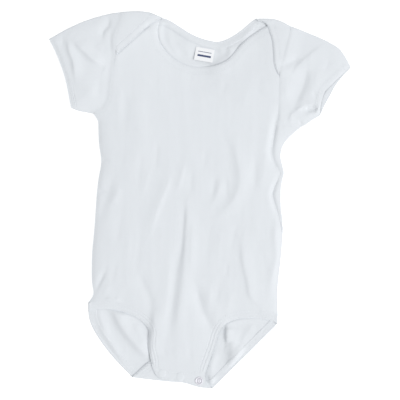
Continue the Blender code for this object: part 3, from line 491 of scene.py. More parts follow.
def inside(points: Line, loop: Line) -> Array:
    """Returns which points are inside a closed loop."""
    x, y = points[:, 0], points[:, 1]
    found = np.zeros(len(points), bool)
    for (ax, ay), (bx, by) in zip(loop, np.roll(loop, -1, axis=0)):
        if ay != by:
            cross = (ay > y) != (by > y)
            found ^= cross & (x < (bx - ax) * (y - ay) / (by - ay) + ax)
    return found


def crossing(a: Array, b: Array, line: Line) -> Array | None:
    """Finds where a segment first crosses a polyline.

    Args:
        a: The segment's start.
        b: Its end.
        line: The polyline.

    Returns:
        The place, or None.
    """
    best = None
    r = b - a
    for p, q in zip(line[:-1], line[1:]):
        s = q - p
        turn = r[0] * s[1] - r[1] * s[0]
        if abs(turn) < 1e-9:
            continue
        t = ((p - a)[0] * s[1] - (p - a)[1] * s[0]) / turn
        u = ((p - a)[0] * r[1] - (p - a)[1] * r[0]) / turn
        if 0 < t <= 1 and 0 <= u <= 1 and (best is None or t < best):
            best = t
    return None if best is None else a + best * r


def body_edge(column: str, first: int, last: int, step: float = STEP) -> Line:
    """Returns one column of the body's rows, from one row to another, as a smooth line."""
    return smooth([(getattr(row, column), row.y) for row in BODY[first : last + 1]], step)


def shortened(line: Line, start: float, end: float) -> Line:
    """Returns the line without a length at each end."""
    run = run_of(line)
    at = np.concatenate([[start], run[(run > start + 0.4) & (run < run[-1] - end - 0.4)]])
    return points_at(line, run, np.append(at, run[-1] - end))


def clear_of(line: Line, others: Sequence[Line], room: float = 1.0) -> Line:
    """Returns a line without its points that are near other lines."""
    for other in others:
        line = line[distance_to(line, other) > room]
    return line


def loop_of(*runs: Line) -> Line:
    """Returns a closed loop from runs end to end, without points that nearly repeat, and with
    more where they are far apart."""
    points = np.vstack(runs)
    points = points[norm(points - np.roll(points, 1, axis=0), axis=1) > REPEAT]
    filled = []
    for a, b in zip(points, np.roll(points, -1, axis=0)):
        gap = norm(b - a)
        parts = round(gap / STEP) if gap > WIDE else 1
        filled += [a + (b - a) * k / parts for k in range(parts)]
    return np.array(filled)


# ---- heights ----


def side_left(step: float = STEP) -> Line:
    """Returns the left side, from the armpit to the hip."""
    rows = [(row.left, row.y) for row in BODY[: LEFT_HIP + 1]]
    return smooth([(-113, 91.5), (-108.3, 84)] + rows, step)


@dataclass
class Relief:
    """The heights of the cloth's layers over the plan.

    The upper layer rises quickly from the outline and then slowly, is held down along its
    free rims, lifted by the folded tab, and carries the creases."""

    edge_top: float = 2.6
    fold_inset: float = 1.3
    fold_clear: float = 2.6  # how far from the outline the lower layer starts to rise
    fold_reach: float = 2.4  # and by how far past that it has risen
    near_rise: float = 1.35
    near_reach: float = 6.0
    far_rise: float = 2.8
    far_reach: float = 42.0
    rim_reach: float = 13.0
    rim_hold: float = 0.9
    tab_lift: float = 2.0
    tab_spread: float = 13.0
    tab_hold: float = 0.9  # how much of the creases the folded tab takes away
    lap_spread: float = 6.0
    sleeve_spread: float = 18.0
    crescent: float = 0.5  # how far the right cuff's lower layer curls up where it shows
    curl_reach: float = 3.5
    gape: float = 2.3  # how far the front stands off the back at the right of the neck
    gape_reach: float = 12.0
    label_clear: float = 9.0  # the lower layer stays flat so far round the label's middle
    label_spread: float = 8.0
    floor_base: float = 0.4  # how high the lower layer may rise below the free rims
    floor_slope: float = 0.75  # and how much higher with the distance from them
    floor_gape: float = 0.85  # the share of the gape by which it may rise more
    floor_waves: float = 0.9
    swell: float = 1.5  # how far the lower layer swells up against the free rims
    lap_shares: Pair = (0.85, 0.15)
    seam_depth: float = 0.36
    seam_reach: Pair = (1.3, 4.0)  # towards the light, and away from it
    shoulder_seam: Pair = (0.5, 1.2)  # the first seam's share and reach
    shoulder_fall: Pair = (2.6, 13.0)  # where the fall past it starts and ends
    shoulder_drop: float = 0.85  # how far the left sleeve falls away from its seam
    side_drop: float = 0.5
    side_reach: float = 1.8
    hem_width: float = 6.7
    hem_height: float = 0.34
    hem_edge: float = 0.35  # how gently the hem's step rises
    hem_dip: float = 0.5  # how deep its rows of stitches are
    hem_reach: float = 12.0  # how far from a cuff the hem's effect ends
    allowance: float = 0.04  # how far a sleeve's seam allowance shows
    allowance_at: float = 3.0  # how far from the seam its middle is
    allowance_half: float = 1.7
    light: Pair = (0.94, -0.34)  # where the light comes from, in the plan

    def __post_init__(self) -> None:
        """Draws the lines that heights are measured from."""
        def coarse(points: Sequence[Pair]) -> Line:
            """Returns a smooth line with wide spacing."""
            return smooth(points, PLAN_STEP)

        self.side_left = side_left(PLAN_STEP)
        self.side_right = body_edge("right", 0, len(BODY) - 1, PLAN_STEP)
        bottom, neck = coarse(BOTTOM), coarse(NECK_BACK)
        shoulders = coarse(SHOULDER_LEFT), coarse(SHOULDER_RIGHT)
        legs = coarse(LEG_BACK_LEFT), coarse(LEG_BACK_RIGHT)
        below = coarse(CUFF_RIGHT_BELOW)
        self.cuffs = [coarse(CUFF_LEFT), coarse(CUFF_RIGHT_ABOVE)]
        self.cuff_mouth = np.vstack([below, self.cuffs[1][::-1]])
        self.outline = np.vstack([
            shoulders[0], neck, shoulders[1], coarse(SLEEVE_TOP_RIGHT), below,
            coarse(UNDERARM_RIGHT), self.side_right, legs[1], bottom[::-1], legs[0][::-1],
            self.side_left[::-1], coarse(UNDERARM_LEFT)[::-1], self.cuffs[0][::-1],
            coarse(SLEEVE_TOP_LEFT)[::-1],
        ])
        self.rims = [coarse(rim) for rim in (NECK_FRONT, LEG_FRONT_LEFT, LEG_FRONT_RIGHT)]
        self.openings = [
            np.vstack([back, rim[::-1]]) for back, rim in zip((neck, *legs), self.rims)]
        self.laps = [
            np.vstack([coarse(LAP_LEFT), shoulders[0][::-1], coarse(ARMHOLE_LEFT)[:12]]),
            np.vstack([coarse(LAP_RIGHT), coarse(ARMHOLE_RIGHT)[13::-1], shoulders[1][::-1]]),
        ]
        self.tab_area = np.vstack([bottom, coarse(BACK_TAB_RIGHT), coarse(BACK_TAB_TOP)[::-1],
                                   coarse(BACK_TAB_LEFT)[::-1]])
        self.seams = [smooth(seam, 2.0) for seam in (ARMHOLE_LEFT, ARMHOLE_RIGHT, ARMPIT_RIGHT)]
        self.seams.append(body_edge("seam", 0, STRIP_END, 2.0))

    @staticmethod
    def nearness(points: Line, area: Line, spread: float) -> Array:
        """Returns 1 inside an area, easing to 0 at a distance of spread outside it."""
        edge = np.vstack([area, area[:1]])
        away = np.where(inside(points, area), 0, distance_to(points, edge))
        return eased(np.clip(1 - away / spread, 0, 1))

    def creases(self, points: Line, folds: Sequence[Fold]) -> Array:
        """Adds creases up, each fading out towards its two ends.

        Args:
            points: Places in the plan.
            folds: The creases.

        Returns:
            Their height at each point.
        """
        total = np.zeros(len(points))
        for fold in folds:
            path = smooth(fold.path, CREASE_STEP)
            reach = CREASE_REACH * max(fold.away, fold.toward)
            low, high = path.min(0) - reach, path.max(0) + reach
            near = np.flatnonzero(((points > low) & (points < high)).all(1))
            if not len(near):
                continue
            gap, share, way = located(points[near], path)
            width = np.where(way @ np.array(self.light) > 0, fold.toward, fold.away)
            power = 1.4 + 0.6 * np.clip((width - 2) / 6, 0, 1)
            ends = eased(np.clip(np.minimum(share, 1 - share) / CREASE_END, 0, 1))
            total[near] += fold.height * bell(gap, width, power) * (0.2 + 0.8 * ends)
        return total

    @staticmethod
    def ripples(points: Line) -> Array:
        """Returns the cloth's soft unevenness, longer along the body than across it."""
        layers = ((0.20, 11, 40, 0.7), (0.04, 4.5, 13, 4.1))  # height, lengths and place
        return np.array([
            sum(height * noise(Vector((x / across, y / along, z)))
                for height, across, along, z in layers)
            for x, y in points
        ])

    def top(self, points: Line) -> Array:
        """Returns the top of the upper layer."""
        inwards = np.maximum(distance_to(points, self.outline) - self.fold_inset, 0)
        near = 1 - np.exp(-inwards / self.near_reach)
        rise = self.near_rise * near + self.far_rise * (1 - np.exp(-inwards / self.far_reach))
        rim = np.min([distance_to(points, line) for line in self.rims], axis=0)
        rise *= 1 - self.rim_hold * np.exp(-rim / self.rim_reach)
        tab = self.nearness(points, self.tab_area, self.tab_spread)
        shape = rise + (self.creases(points, FOLDS) + self.ripples(points)) * near
        shape = np.maximum(shape, 0) * (1 - self.tab_hold * tab)
        shape += self.standing(points) * near
        return self.edge_top + shape + self.tab_lift * tab + self.seam_dip(points)

    def standing(self, points: Line) -> Array:
        """Returns how far the front stands off the back at the right of the neck."""
        return self.gape * bell(distance_to(points, np.array(NECK_GAPE)), self.gape_reach)

    def seam_dip(self, points: Line) -> Array:
        """Returns how far the seams on top pull the cloth down beside them."""
        dip = np.zeros(len(points))
        for k, line in enumerate(self.seams):
            gap, _, way = located(points, line)
            lit = way @ np.array(self.light) > 0
            groove = self.seam_depth * bell(gap, np.where(lit, *self.seam_reach), 1.5)
            if k == 0:
                share, reach = self.shoulder_seam
                start, end = self.shoulder_fall
                fall = self.shoulder_drop * ((1 - bell(gap, start)) * bell(gap, end))
                groove = share * self.seam_depth * bell(gap, reach) + np.where(lit, 0, fall)
            dip = np.minimum(dip, -groove)
        return dip

    def lap(self, points: Line) -> Array:
        """Returns the top of a lap, which lies on the front."""
        return self.top(points) + CLOTH + GAP

    def sleeve(self, points: Line) -> Array:
        """Returns the top of a sleeve, with its seam allowance and its hem.

        Beside a lap it is raised, so that the seam between them is level.

        Args:
            points: Places in the plan.

        Returns:
            The height of each.
        """
        near = np.zeros(len(points))
        for area, tip in zip(self.laps, (LAP_LEFT[0], LAP_RIGHT[-1])):
            above = np.clip((points[:, 1] - tip[1] + 6) / 10, 0, 1)
            near = np.maximum(near, self.nearness(points, area, self.sleeve_spread) * above)
        seam = np.min([distance_to(points, line) for line in self.seams], axis=0)
        allowance = self.allowance * bell(seam - self.allowance_at, self.allowance_half, 4)
        cuff = np.min([distance_to(points, line) for line in self.cuffs], axis=0)
        hem = self.hem_height / (1 + np.exp((cuff - self.hem_width) / self.hem_edge))
        rows = sum(bell(cuff - row, ROW_REACH) for row in Sleeve.stitch_rows)
        rows = rows * np.where(points[:, 0] > 0, 0.12, np.clip((134 - points[:, 1]) / 22, 0.35, 1))
        edge = np.clip((distance_to(points, self.outline) - 1.5) / 3, 0, 1)
        hem = np.where(cuff < self.hem_reach, hem - self.hem_dip * rows, 0)
        return self.top(points) + (CLOTH + GAP) * near + (allowance + hem) * edge

    def front(self, points: Line) -> Array:
        """Returns the top of the front, which comes down on to the back at the side seams."""
        inwards = distance_to(points, self.outline)
        sides = np.minimum(distance_to(points, self.side_left[3:]),
                           distance_to(points, self.side_right[20:]))
        drop = self.side_drop * bell(sides, self.side_reach)
        return self.top(points) - GAP * np.exp(-inwards / 4) - drop + self.nestle(points)

    def nestle(self, points: Line) -> Array:
        """Returns how far the front rises against the edges of the laps that lie on it."""
        rise = np.zeros(len(points))
        for lap, area, share in zip((LAP_LEFT, LAP_RIGHT), self.laps, self.lap_shares):
            gap = distance_to(points, smooth(lap, 2.0))
            gap = np.where(inside(points, area), 0, gap)
            beside_lap = (1 - bell(gap, 0.8)) * np.exp(-gap / self.lap_spread)
            rise = np.maximum(rise, share * (CLOTH + GAP) * beside_lap)
        return rise

    def swelling(self, points: Line) -> Array:
        """Returns how far the lower layer swells at a free rim: most where the rim is soft, at
        the left of the neck and over the middle of each leg's opening."""
        x, y = points.T
        neck = np.clip(1.1 - bell(x - 62, 20), 0.1, 1)  # least at the right lap
        legs = np.clip(1.2 - np.abs(x + 84) / 24, 0.1, 1) + np.clip(1.2 - np.abs(x - 45) / 22, 0, 1)
        low = np.clip((y + 138) / 10, 0.25, 1)  # less down the sides of the tab
        deep = 1 + 0.7 * bell(x - 32, 14)  # most where the front gapes
        return self.swell * np.where(y > 0, neck * deep, np.clip(legs, 0, 1) * low)

    def tab(self, points: Line) -> Array:
        """Returns the top of the back's tab, folded up over its lower layer."""
        return np.full(len(points), TAB_TOP)

    def floor(self, points: Line) -> Array:
        """Returns the underside of a lower layer: flat, with low creases that rise where the
        layer shows."""
        soft = np.array([max(noise(Vector((x / 13, y / 26, 9.3))) - 0.08, 0)
                         for x, y in points])
        lift = np.maximum(self.creases(points, LOW_FOLDS) + self.floor_waves * soft, 0)
        base = self.floor_base + self.floor_gape * self.standing(points)
        cap, reach = base, np.interp(points[:, 0], (10, 28), (5, 6.5))
        swelling = self.swelling(points)
        for area, rim in zip(self.openings, self.rims):
            away = distance_to(points, rim)
            cap = np.where(inside(points, area), base + self.floor_slope * away, cap)
            lift = lift + swelling * bell(away, reach)
        inwards = np.maximum(distance_to(points, self.outline) - self.fold_clear, 0)
        label = norm(points - Label.centre, axis=1) - self.label_clear
        label = np.clip(label / self.label_spread, 0, 1)
        low = np.minimum(lift, cap) * (1 - bell(inwards, self.fold_reach)) * label
        curl = bell(distance_to(points, self.cuffs[1]), self.curl_reach)
        return np.where(inside(points, self.cuff_mouth), self.crescent * curl, low)


# ---- cloth ----


def add_object(name: str, data: bpy.types.ID) -> bpy.types.Object:
    """Adds an object with its data to the scene."""
    obj = bpy.data.objects.new(name, data)
    bpy.context.scene.collection.objects.link(obj)
    return obj


def modify(obj: bpy.types.Object, kind: str, **values: object) -> None:
    """Gives an object a modifier with some values, and applies it."""
    change = obj.modifiers.new("change", kind)
    for name, value in values.items():
        setattr(change, name, value)
    bpy.ops.object.select_all(action="DESELECT")
    obj.select_set(True)
    bpy.context.view_layer.objects.active = obj
    bpy.ops.object.modifier_apply(modifier=change.name)


class Shell:
    """The outer face of one piece of cloth, gathered sheet by sheet, in millimetres."""

    def __init__(self, turn: float = 0.0) -> None:
        """Starts an empty shell whose knit is turned by an angle in degrees."""
        self.turn = radians(turn)
        self.points: list[Array] = []
        self.plans: list[Array] = []
        self.walls: list[Array] = []
        self.faces: list[tuple[int, ...]] = []
        self.count = 0

    def add(self, points: Array, faces: Sequence[Sequence[int]], plan: Line,
            walls: Array | None) -> None:
        """Adds points and the faces between them.

        Args:
            points: The new points.
            faces: Indices into them.
            plan: Where each lies on the flat cloth.
            walls: The share of the full wall at each, if not all of it.
        """
        self.faces += [tuple(self.count + k for k in face) for face in faces]
        self.points.append(points)
        self.plans.append(plan)
        self.walls.append(np.ones(len(points)) if walls is None else walls)
        self.count += len(points)

    def sheet(self, loop: Line, height: Heights, spacing: float = FINE,
              lines: Sequence[Line] = (), dense: Sequence[Line] = ()) -> None:
        """Fills a closed loop with points, raised by a height function.

        Args:
            loop: The sheet's edge.
            height: The height over the plan.
            spacing: The distance between points inside it.
            lines: Lines that faces don't cross, for a step in the height.
            dense: Areas with the finest spacing.
        """
        lattice = self.lattice(loop, spacing)
        for area in dense:
            fine = self.lattice(area, FINER)
            lattice = np.vstack([lattice[~inside(lattice, area)], fine])
        lattice = lattice[inside(lattice, loop)]
        closed = np.vstack([loop, loop[:1]])
        lattice = lattice[distance_to(lattice, closed) > 0.55 * spacing]
        edges = [(k, (k + 1) % len(loop)) for k in range(len(loop))]
        count = len(loop)
        for line in lines:
            lattice = lattice[distance_to(lattice, line) > 0.45 * spacing]
            edges += [(count + k, count + k + 1) for k in range(len(line) - 1)]
            count += len(line)
        points = [Vector(p) for p in np.vstack([loop, *lines, lattice])]
        found = delaunay_2d_cdt(points, edges, [list(range(len(loop)))], 1, 1e-4)
        flat = np.array([tuple(p) for p in found[0]])
        self.add(np.column_stack([flat, height(flat)]), found[2], flat, None)

    @staticmethod
    def lattice(loop: Line, spacing: float) -> Line:
        """Returns evenly spaced points inside a closed loop, each row offset from the last."""
        low, high = loop.min(0), loop.max(0)
        rows = np.arange(low[1], high[1], spacing * ROW_HEIGHT)
        places = np.array([
            (x + (k % 2) * spacing / 2, y)
            for k, y in enumerate(rows)
            for x in np.arange(low[0], high[0], spacing)
        ])
        return places[inside(places, loop)]

    def grid(self, rows: Sequence[Array], plans: Sequence[Line],
             walls: Sequence[Array] | None = None) -> None:
        """Joins rows of points, all of one length, with faces.

        Args:
            rows: The rows of points.
            plans: Where each row lies on the flat cloth.
            walls: The share of the full wall at each point.
        """
        count = len(rows[0])
        faces = [
            (a * count + b, a * count + b + 1, (a + 1) * count + b + 1, (a + 1) * count + b)
            for a in range(len(rows) - 1)
            for b in range(count - 1)
        ]
        self.add(np.vstack(rows), faces, np.vstack(plans),
                 None if walls is None else np.concatenate(walls))

    def bend(self, line: Line, outwards: Line, top: Array,
             plan: Line | None = None, along: Line | None = None,
             walls: Array | None = None) -> None:
        """Joins the lower layer to an upper one round a folded edge.

        Args:
            line: Where the bend starts, inside the edge.
            outwards: The way out at each point.
            top: The height that it reaches.
            plan: Where the line lies on the flat cloth, if not at its place.
            along: The way on the flat cloth that the bend takes.
            walls: The share of the full wall at each point.
        """
        rows, plans = [], []
        radius = top / 2
        for step in range(BEND_STEPS + 1):
            angle = pi * (step / BEND_STEPS - 0.5)
            out = line + outwards * (radius * cos(angle))[:, None]
            rows.append(np.column_stack([out, radius * (1 + sin(angle))]))
            arc = radius * (angle + pi / 2)
            if plan is None:
                arc = np.minimum(arc, radius * pi - arc)
                plans.append(line + outwards * arc[:, None])
            else:
                plans.append(plan + along * arc[:, None])
        self.grid(rows, plans, None if walls is None else [walls] * len(rows))

    def build(self, name: str, material: bpy.types.Material, thickness: float) -> bpy.types.Object:
        """Makes the object: the shell with its normals out, thickened inwards.

        Args:
            name: The piece's name.
            material: Its finish.
            thickness: Its wall in millimetres.

        Returns:
            The piece.
        """
        points = np.vstack(self.points) * MM
        plan = np.vstack(self.plans)
        turned = np.array([[cos(self.turn), -sin(self.turn)], [sin(self.turn), cos(self.turn)]])
        plan = (plan @ turned.T) * MM + 0.5
        mesh = bpy.data.meshes.new(name)
        mesh.from_pydata([Vector(p) for p in points], [], self.faces)
        corners = np.array([k for face in self.faces for k in face])
        mesh.uv_layers.new(name="UVMap").data.foreach_set("uv", plan[corners].ravel())
        wall = mesh.attributes.new("wall", "FLOAT", "POINT")
        wall.data.foreach_set("value", np.concatenate(self.walls).astype(np.float32))
        work = bmesh.new()
        work.from_mesh(mesh)
        bmesh.ops.remove_doubles(work, verts=work.verts, dist=WELD)
        loose = [vert for vert in work.verts if not vert.link_faces]
        bmesh.ops.delete(work, geom=loose, context="VERTS")
        bmesh.ops.recalc_face_normals(work, faces=work.faces)
        floor = [f for f in work.faces if f.calc_center_median().z < 1e-6]
        wanted, chosen = (-1, floor) if floor else (1, work.faces)
        if sum(face.normal.z * face.calc_area() for face in chosen) * wanted < 0:
            bmesh.ops.reverse_faces(work, faces=work.faces)
        work.verts.index_update()
        rim = {}
        for vert in work.verts:
            if vert.is_boundary:
                way = sum((face.normal * face.calc_area() for face in vert.link_faces), Vector())
                if abs(way.normalized().z) > FLAT_RIM:
                    rim[vert.index] = -np.sign(way.z)
        work.to_mesh(mesh)
        work.free()
        mesh.materials.append(material)
        obj = add_object(name, mesh)
        shares = np.zeros(len(mesh.vertices), np.float32)
        mesh.attributes["wall"].data.foreach_get("value", shares)
        group = obj.vertex_groups.new(name="wall")
        for k, share in enumerate(shares):
            group.add([k], float(np.clip(share, 0, 1)), "REPLACE")
        mesh.attributes.remove(mesh.attributes["wall"])
        modify(obj, "SOLIDIFY", thickness=thickness * MM, offset=-1, use_even_offset=True,
               vertex_group="wall")
        self.tame(mesh, thickness * MM * shares, rim)
        bpy.ops.object.shade_smooth_by_angle(angle=SMOOTH_BELOW)
        return obj

    @staticmethod
    def tame(mesh: bpy.types.Mesh, walls: Array, rim: dict[int, float]) -> None:
        """Draws in the inner points that a sharp corner has thrown too far, and sets the wall
        upright at seams and edges that lie nearly flat.

        Args:
            mesh: The thickened mesh, its outer points first.
            walls: The wall at each outer point, in metres.
            rim: The points on such edges, and whether their wall goes up or down.
        """
        count = len(walls)
        points = np.zeros(len(mesh.vertices) * 3, np.float32)
        mesh.vertices.foreach_get("co", points)
        points = points.reshape(-1, 3)
        outer, inner = points[:count], points[count : 2 * count]
        way = inner - outer
        length = norm(way, axis=1)
        reach = LONGEST_WALL * walls.max()
        far = length > reach
        inner[far] = outer[far] + way[far] / length[far, None] * reach
        for k, side in rim.items():
            inner[k] = outer[k] + [0, 0, side * walls[k]]
        sunk = inner[:, 2] < 0
        inner[sunk, 2] = outer[sunk, 2] + 0.9 * walls.max()
        mesh.vertices.foreach_set("co", points.ravel())
        mesh.update()


def folded(edge: Line, side: int, height: Heights, start: float = 0.0,
           end: float = 0.0) -> tuple[Line, Line, Array]:
    """Finds where a folded edge's bend starts.

    Args:
        edge: The outline.
        side: 1 where the cloth is to its left and -1 to its right.
        height: The height of the upper layer.
        start: The length left off at its start, at a seam.
        end: The length left off at its end.

    Returns:
        The line, the way out from it, and the top there.
    """
    edge = shortened(edge, start, end)
    inwards = side * left_normals(edge)
    line = edge + inwards * RELIEF.fold_inset
    line = edge + inwards * (height(line) / 2)[:, None]
    return line, -inwards, height(line)


# ---- bands ----


@dataclass(frozen=True)
class Profile:
    """A binding's cross-section: a rounded rim, and a dip along each row of stitches."""

    width: float
    rows: tuple[float, ...]
    dip: float = 0.16
    rim: float = 0.15
    rim_places: tuple[float, ...] = (0, 0.3, 0.7, 2.2)
    curl: float = 0.55  # how much lower the rim is where it faces away from the light

    def places(self) -> Array:
        """Returns the shares of the width where the section has points."""
        close = [row + d for row in self.rows for d in (-ROW_REACH, 0, ROW_REACH)]
        middle = np.linspace(self.rows[0] + 1.0, self.rows[-1] - 1.0, 4)
        at = [*self.rim_places, *close, *middle, self.width - 0.3, self.width]
        return np.array(sorted(set(np.round(at, 3)))) / self.width

    def dips(self, share: float, shade: Array, below: bool, depth: Array) -> Array:
        """Finds how far the section is below its full height.

        Args:
            share: A share of the width.
            shade: How far each place along the rim faces away from the light, up to 1.
            below: Whether the inner face shows, which comes level with the panel's.
            depth: How deep the stitches pull the cloth in at each place, as a share.

        Returns:
            The drop at each place, below 0.
        """
        v = share * self.width
        rim = (self.rim + self.curl * shade) * bell(v / ROW_REACH, 1 + 2 * shade)
        level = (BAND - CLOTH) * share**2 if below else 0
        rows = sum(bell(v - row, ROW_REACH) for row in self.rows)
        return -rim - level - self.dip * depth * rows


def rungs(edge: Line, width: float, barrier: Line | None = None, end: Pair | None = None
          ) -> Rungs:
    """Pairs points across a band: its edge, and the same moved to the left by its width.

    Args:
        edge: The band's edge.
        width: Its width, below 0 where the band is to the right.
        barrier: A line that each rung stops short of.
        end: Where the last rung's inner end is put.

    Returns:
        The edge and the inner line.
    """
    inner = beside(edge, width)
    for k, (a, b) in enumerate(zip(edge, inner)):
        stop = None if barrier is None else crossing(a, b, barrier)
        if stop is not None:
            reach = max(norm(stop - a) - STOP_SHORT, LEAST_RUNG)
            inner[k] = a + (b - a) / abs(width) * reach
    if end is not None:
        inner[-1] = end
    return [edge, inner]


def fan(edge_point: Array, first: Array, last: Array,
        shares: Sequence[float] = (0.45, 0.65, 0.85)) -> Rungs:
    """Swings rungs about one edge point.

    Args:
        edge_point: The point that they share.
        first: The inner end that the swing starts from.
        last: The inner end that it goes to.
        shares: The shares of the swing that have a rung.

    Returns:
        The rungs.
    """
    parts = np.array(shares)
    a, b = first - edge_point, last - edge_point
    start, size = np.arctan2(a[1], a[0]), norm(a)
    turn = (np.arctan2(b[1], b[0]) - start + pi) % (2 * pi) - pi
    sizes = size + (norm(b) - size) * parts
    angles = start + turn * parts
    inner = edge_point + np.column_stack([np.cos(angles), np.sin(angles)]) * sizes[:, None]
    return [np.repeat([edge_point], len(parts), axis=0), inner]


def joined(*parts: Rungs) -> Rungs:
    """Returns the rungs of several stretches, end to end."""
    return [np.vstack([part[k] for part in parts]) for k in (0, 1)]


def wrap_place(edge: Line, width: float, side: int, top: float, droop: float = 1.0) -> Turn:
    """Finds where a band turns at a folded edge.

    Args:
        edge: The folded edge, from the band's corner on.
        width: The band's width along it.
        side: 1 where the cloth is to its left and -1 to its right.
        top: The height of the turn.
        droop: The share of that height at its corner.

    Returns:
        The turn.
    """
    corner = edge[0]
    away = norm(edge - corner, axis=1)
    pivot = edge[np.argmin(np.abs(away - width))]
    along = (pivot - corner) / norm(pivot - corner)
    inwards = side * np.array([-along[1], along[0]])
    inset = inwards * top / 2
    return Turn(corner + inset * TURN_TAPER, pivot + inset, -inwards, corner, top, droop)


def turned(pairs: Rungs, turn: Turn, end: int, swing: bool = False) -> Rungs:
    """Ends a stretch at the place where its band turns.

    Args:
        pairs: The stretch's rungs.
        turn: The place.
        end: 0 for the stretch's start and -1 for its end.
        swing: Whether the last rungs swing round to it.

    Returns:
        The stretch up to the turn.
    """
    keep = norm(pairs[0] - turn.tip, axis=1) > TIP_CLEAR
    edge, inner, pivot = pairs[0][keep], pairs[1][keep].copy(), turn.pivot
    reach = TURN_PULL * norm(pivot - turn.corner)
    near = norm(edge - turn.corner, axis=1) < reach
    inner[near & ((inner - pivot) @ turn.out > 0)] = pivot
    extra = [np.array([turn.corner]), np.array([pivot])]
    if end == 0:
        swung = [fan(edge[0], pivot, inner[0])] if swing else []
        return joined(extra, *swung, [edge, inner])
    swung = [fan(edge[-1], inner[-1], pivot, (0.15, 0.35, 0.55))] if swing else []
    return joined([edge, inner], *swung, extra)


def panel_line(pairs: Rungs, gap: float = SEAM) -> Line:
    """Returns the edge of the panel along a band, a seam's gap past its inner line."""
    edge, inner = pairs
    along = (inner - edge) / norm(inner - edge, axis=1)[:, None]
    line = inner + along * gap
    keep = np.concatenate([[True], norm(np.diff(line, axis=0), axis=1) > CLOSE])
    return line[keep]


def cut_before(line: Line, turn: Turn) -> Line:
    """Returns the part of a line that ends a seam's gap before a band's turn."""
    past = (line - turn.pivot) @ turn.along() - SEAM
    k = int(np.flatnonzero(np.diff(past > 0))[0])
    meets = line[k] + (line[k + 1] - line[k]) * past[k] / (past[k] - past[k + 1])
    kept = line[past > CLOSE]
    return np.vstack([meets, kept] if past[0] < 0 else [kept, meets])


class Band:
    """A binding, gathered stretch by stretch, with its rows of stitches."""

    def __init__(self, profile: Profile) -> None:
        """Starts an empty band of one profile."""
        self.profile = profile
        self.shell = Shell()
        self.stitches: list[Array] = []
        self.run = 0.0

    def stretch(self, pairs: Rungs, height: Heights, turns: Sequence[Turn] = (),
                below: bool = False, depth: Heights | float = 1.0,
                soften: Heights | None = None) -> None:
        """Adds a stretch between two lines.

        Args:
            pairs: Its rungs.
            height: The height of its outer face.
            turns: The turns at its ends, where its section and height ease to theirs.
            below: Whether it is in the lower layer, so that its inner face shows.
            depth: How deep its stitches pull it in, as a share, or that at each place.
            soften: How much its rim thins out at each place, as a share.
        """
        edge, inner = pairs
        pull = depth(edge) if callable(depth) else np.full(len(edge), depth)
        soft = np.zeros(len(edge)) if soften is None else SOFT_DEPTH * soften(edge)
        run = run_of((edge + inner) / 2)
        out = (edge - inner) / norm(edge - inner, axis=1)[:, None]
        shade = np.clip(-(out @ np.array(RELIEF.light)), 0, 1)
        rows, plans, walls = [], [], []
        for share in self.profile.places():
            line = edge + (inner - edge) * share
            fade, z = np.ones(len(line)), height(line)
            for turn in turns:
                away = distance_to(line, turn.line())
                fade = np.minimum(fade, np.clip(away / TURN_FADE, 0, 1))
                near = eased(np.clip(1 - away / TURN_REACH, 0, 1))
                z = z * (1 - near) + (0 if below else turn.height(share)) * near
            dip = self.profile.dips(share, shade, below, pull) * fade
            thin = soft * bell(share * self.profile.width, SOFT_REACH)
            rows.append(np.column_stack([line, z if below else z + dip - thin]))
            plans.append(np.column_stack(
                [self.run + run, np.full(len(run), share * self.profile.width)]))
            walls.append(1 + dip / BAND if below else 1 - thin / BAND)
        self.shell.grid(rows, plans, walls)
        self.run += run[-1]
        self.sew(pairs, height, turns, below, pull, soft)

    def sew(self, pairs: Rungs, height: Heights, turns: Sequence[Turn], below: bool,
            pull: Array, soft: Array) -> None:
        """Lays the stitch rows of a stretch.

        Args:
            pairs: Its rungs.
            height: The height of its outer face.
            turns: The turns at its ends, which rows stop short of.
            below: Whether it is in the lower layer.
            pull: How deep the stitches pull each rung in, as a share.
            soft: How much the rim thins out at each rung.
        """
        edge, inner = pairs
        length = norm(inner - edge, axis=1)
        for row in self.profile.rows:
            keep = length > row + 0.5
            line = edge + (inner - edge) / length[:, None] * row
            for turn in turns:
                keep &= distance_to(line, turn.line()) > TURN_ROOM
            line = line[keep]
            if len(line) < 3:
                continue
            z = height(line) + (BAND if below else 0) - self.profile.dip * pull[keep]
            z = z - soft[keep] * bell(row, SOFT_REACH)
            self.stitches.append(np.column_stack([line, z]))

    def turn(self, turn: Turn) -> None:
        """Takes the band round a folded edge."""
        shares = self.profile.places()
        line = np.array([turn.corner + (turn.pivot - turn.corner) * k for k in shares])
        plan = np.column_stack([np.full(len(shares), self.run), shares * self.profile.width])
        way = np.repeat([[1.0, 0.0]], len(shares), axis=0)
        taper, tops = turn.taper(shares), turn.height(shares)
        self.shell.bend(line, np.outer(taper, turn.out), tops, plan, way,
                        np.minimum(TURN_WALL * taper * tops / BAND, 1))
        self.run += turn.top / 2 * pi

    def build(self, name: str, node: str, cut: float, hold: Hold, rests_on: str) -> None:
        """Args:
            name: The piece's name.
            node: The node that it stands for.
            cut: The width of its cloth, in metres; not used.
            hold: How it is held; not used.
            rests_on: The node that it lies on; not used.
        """
        piece = self.shell.build(name, BINDING.material(), BAND)
        thread = Stitching("stitches_" + name, self.stitches).build()
        own(piece, "binding", node)
        own(thread, "binding")


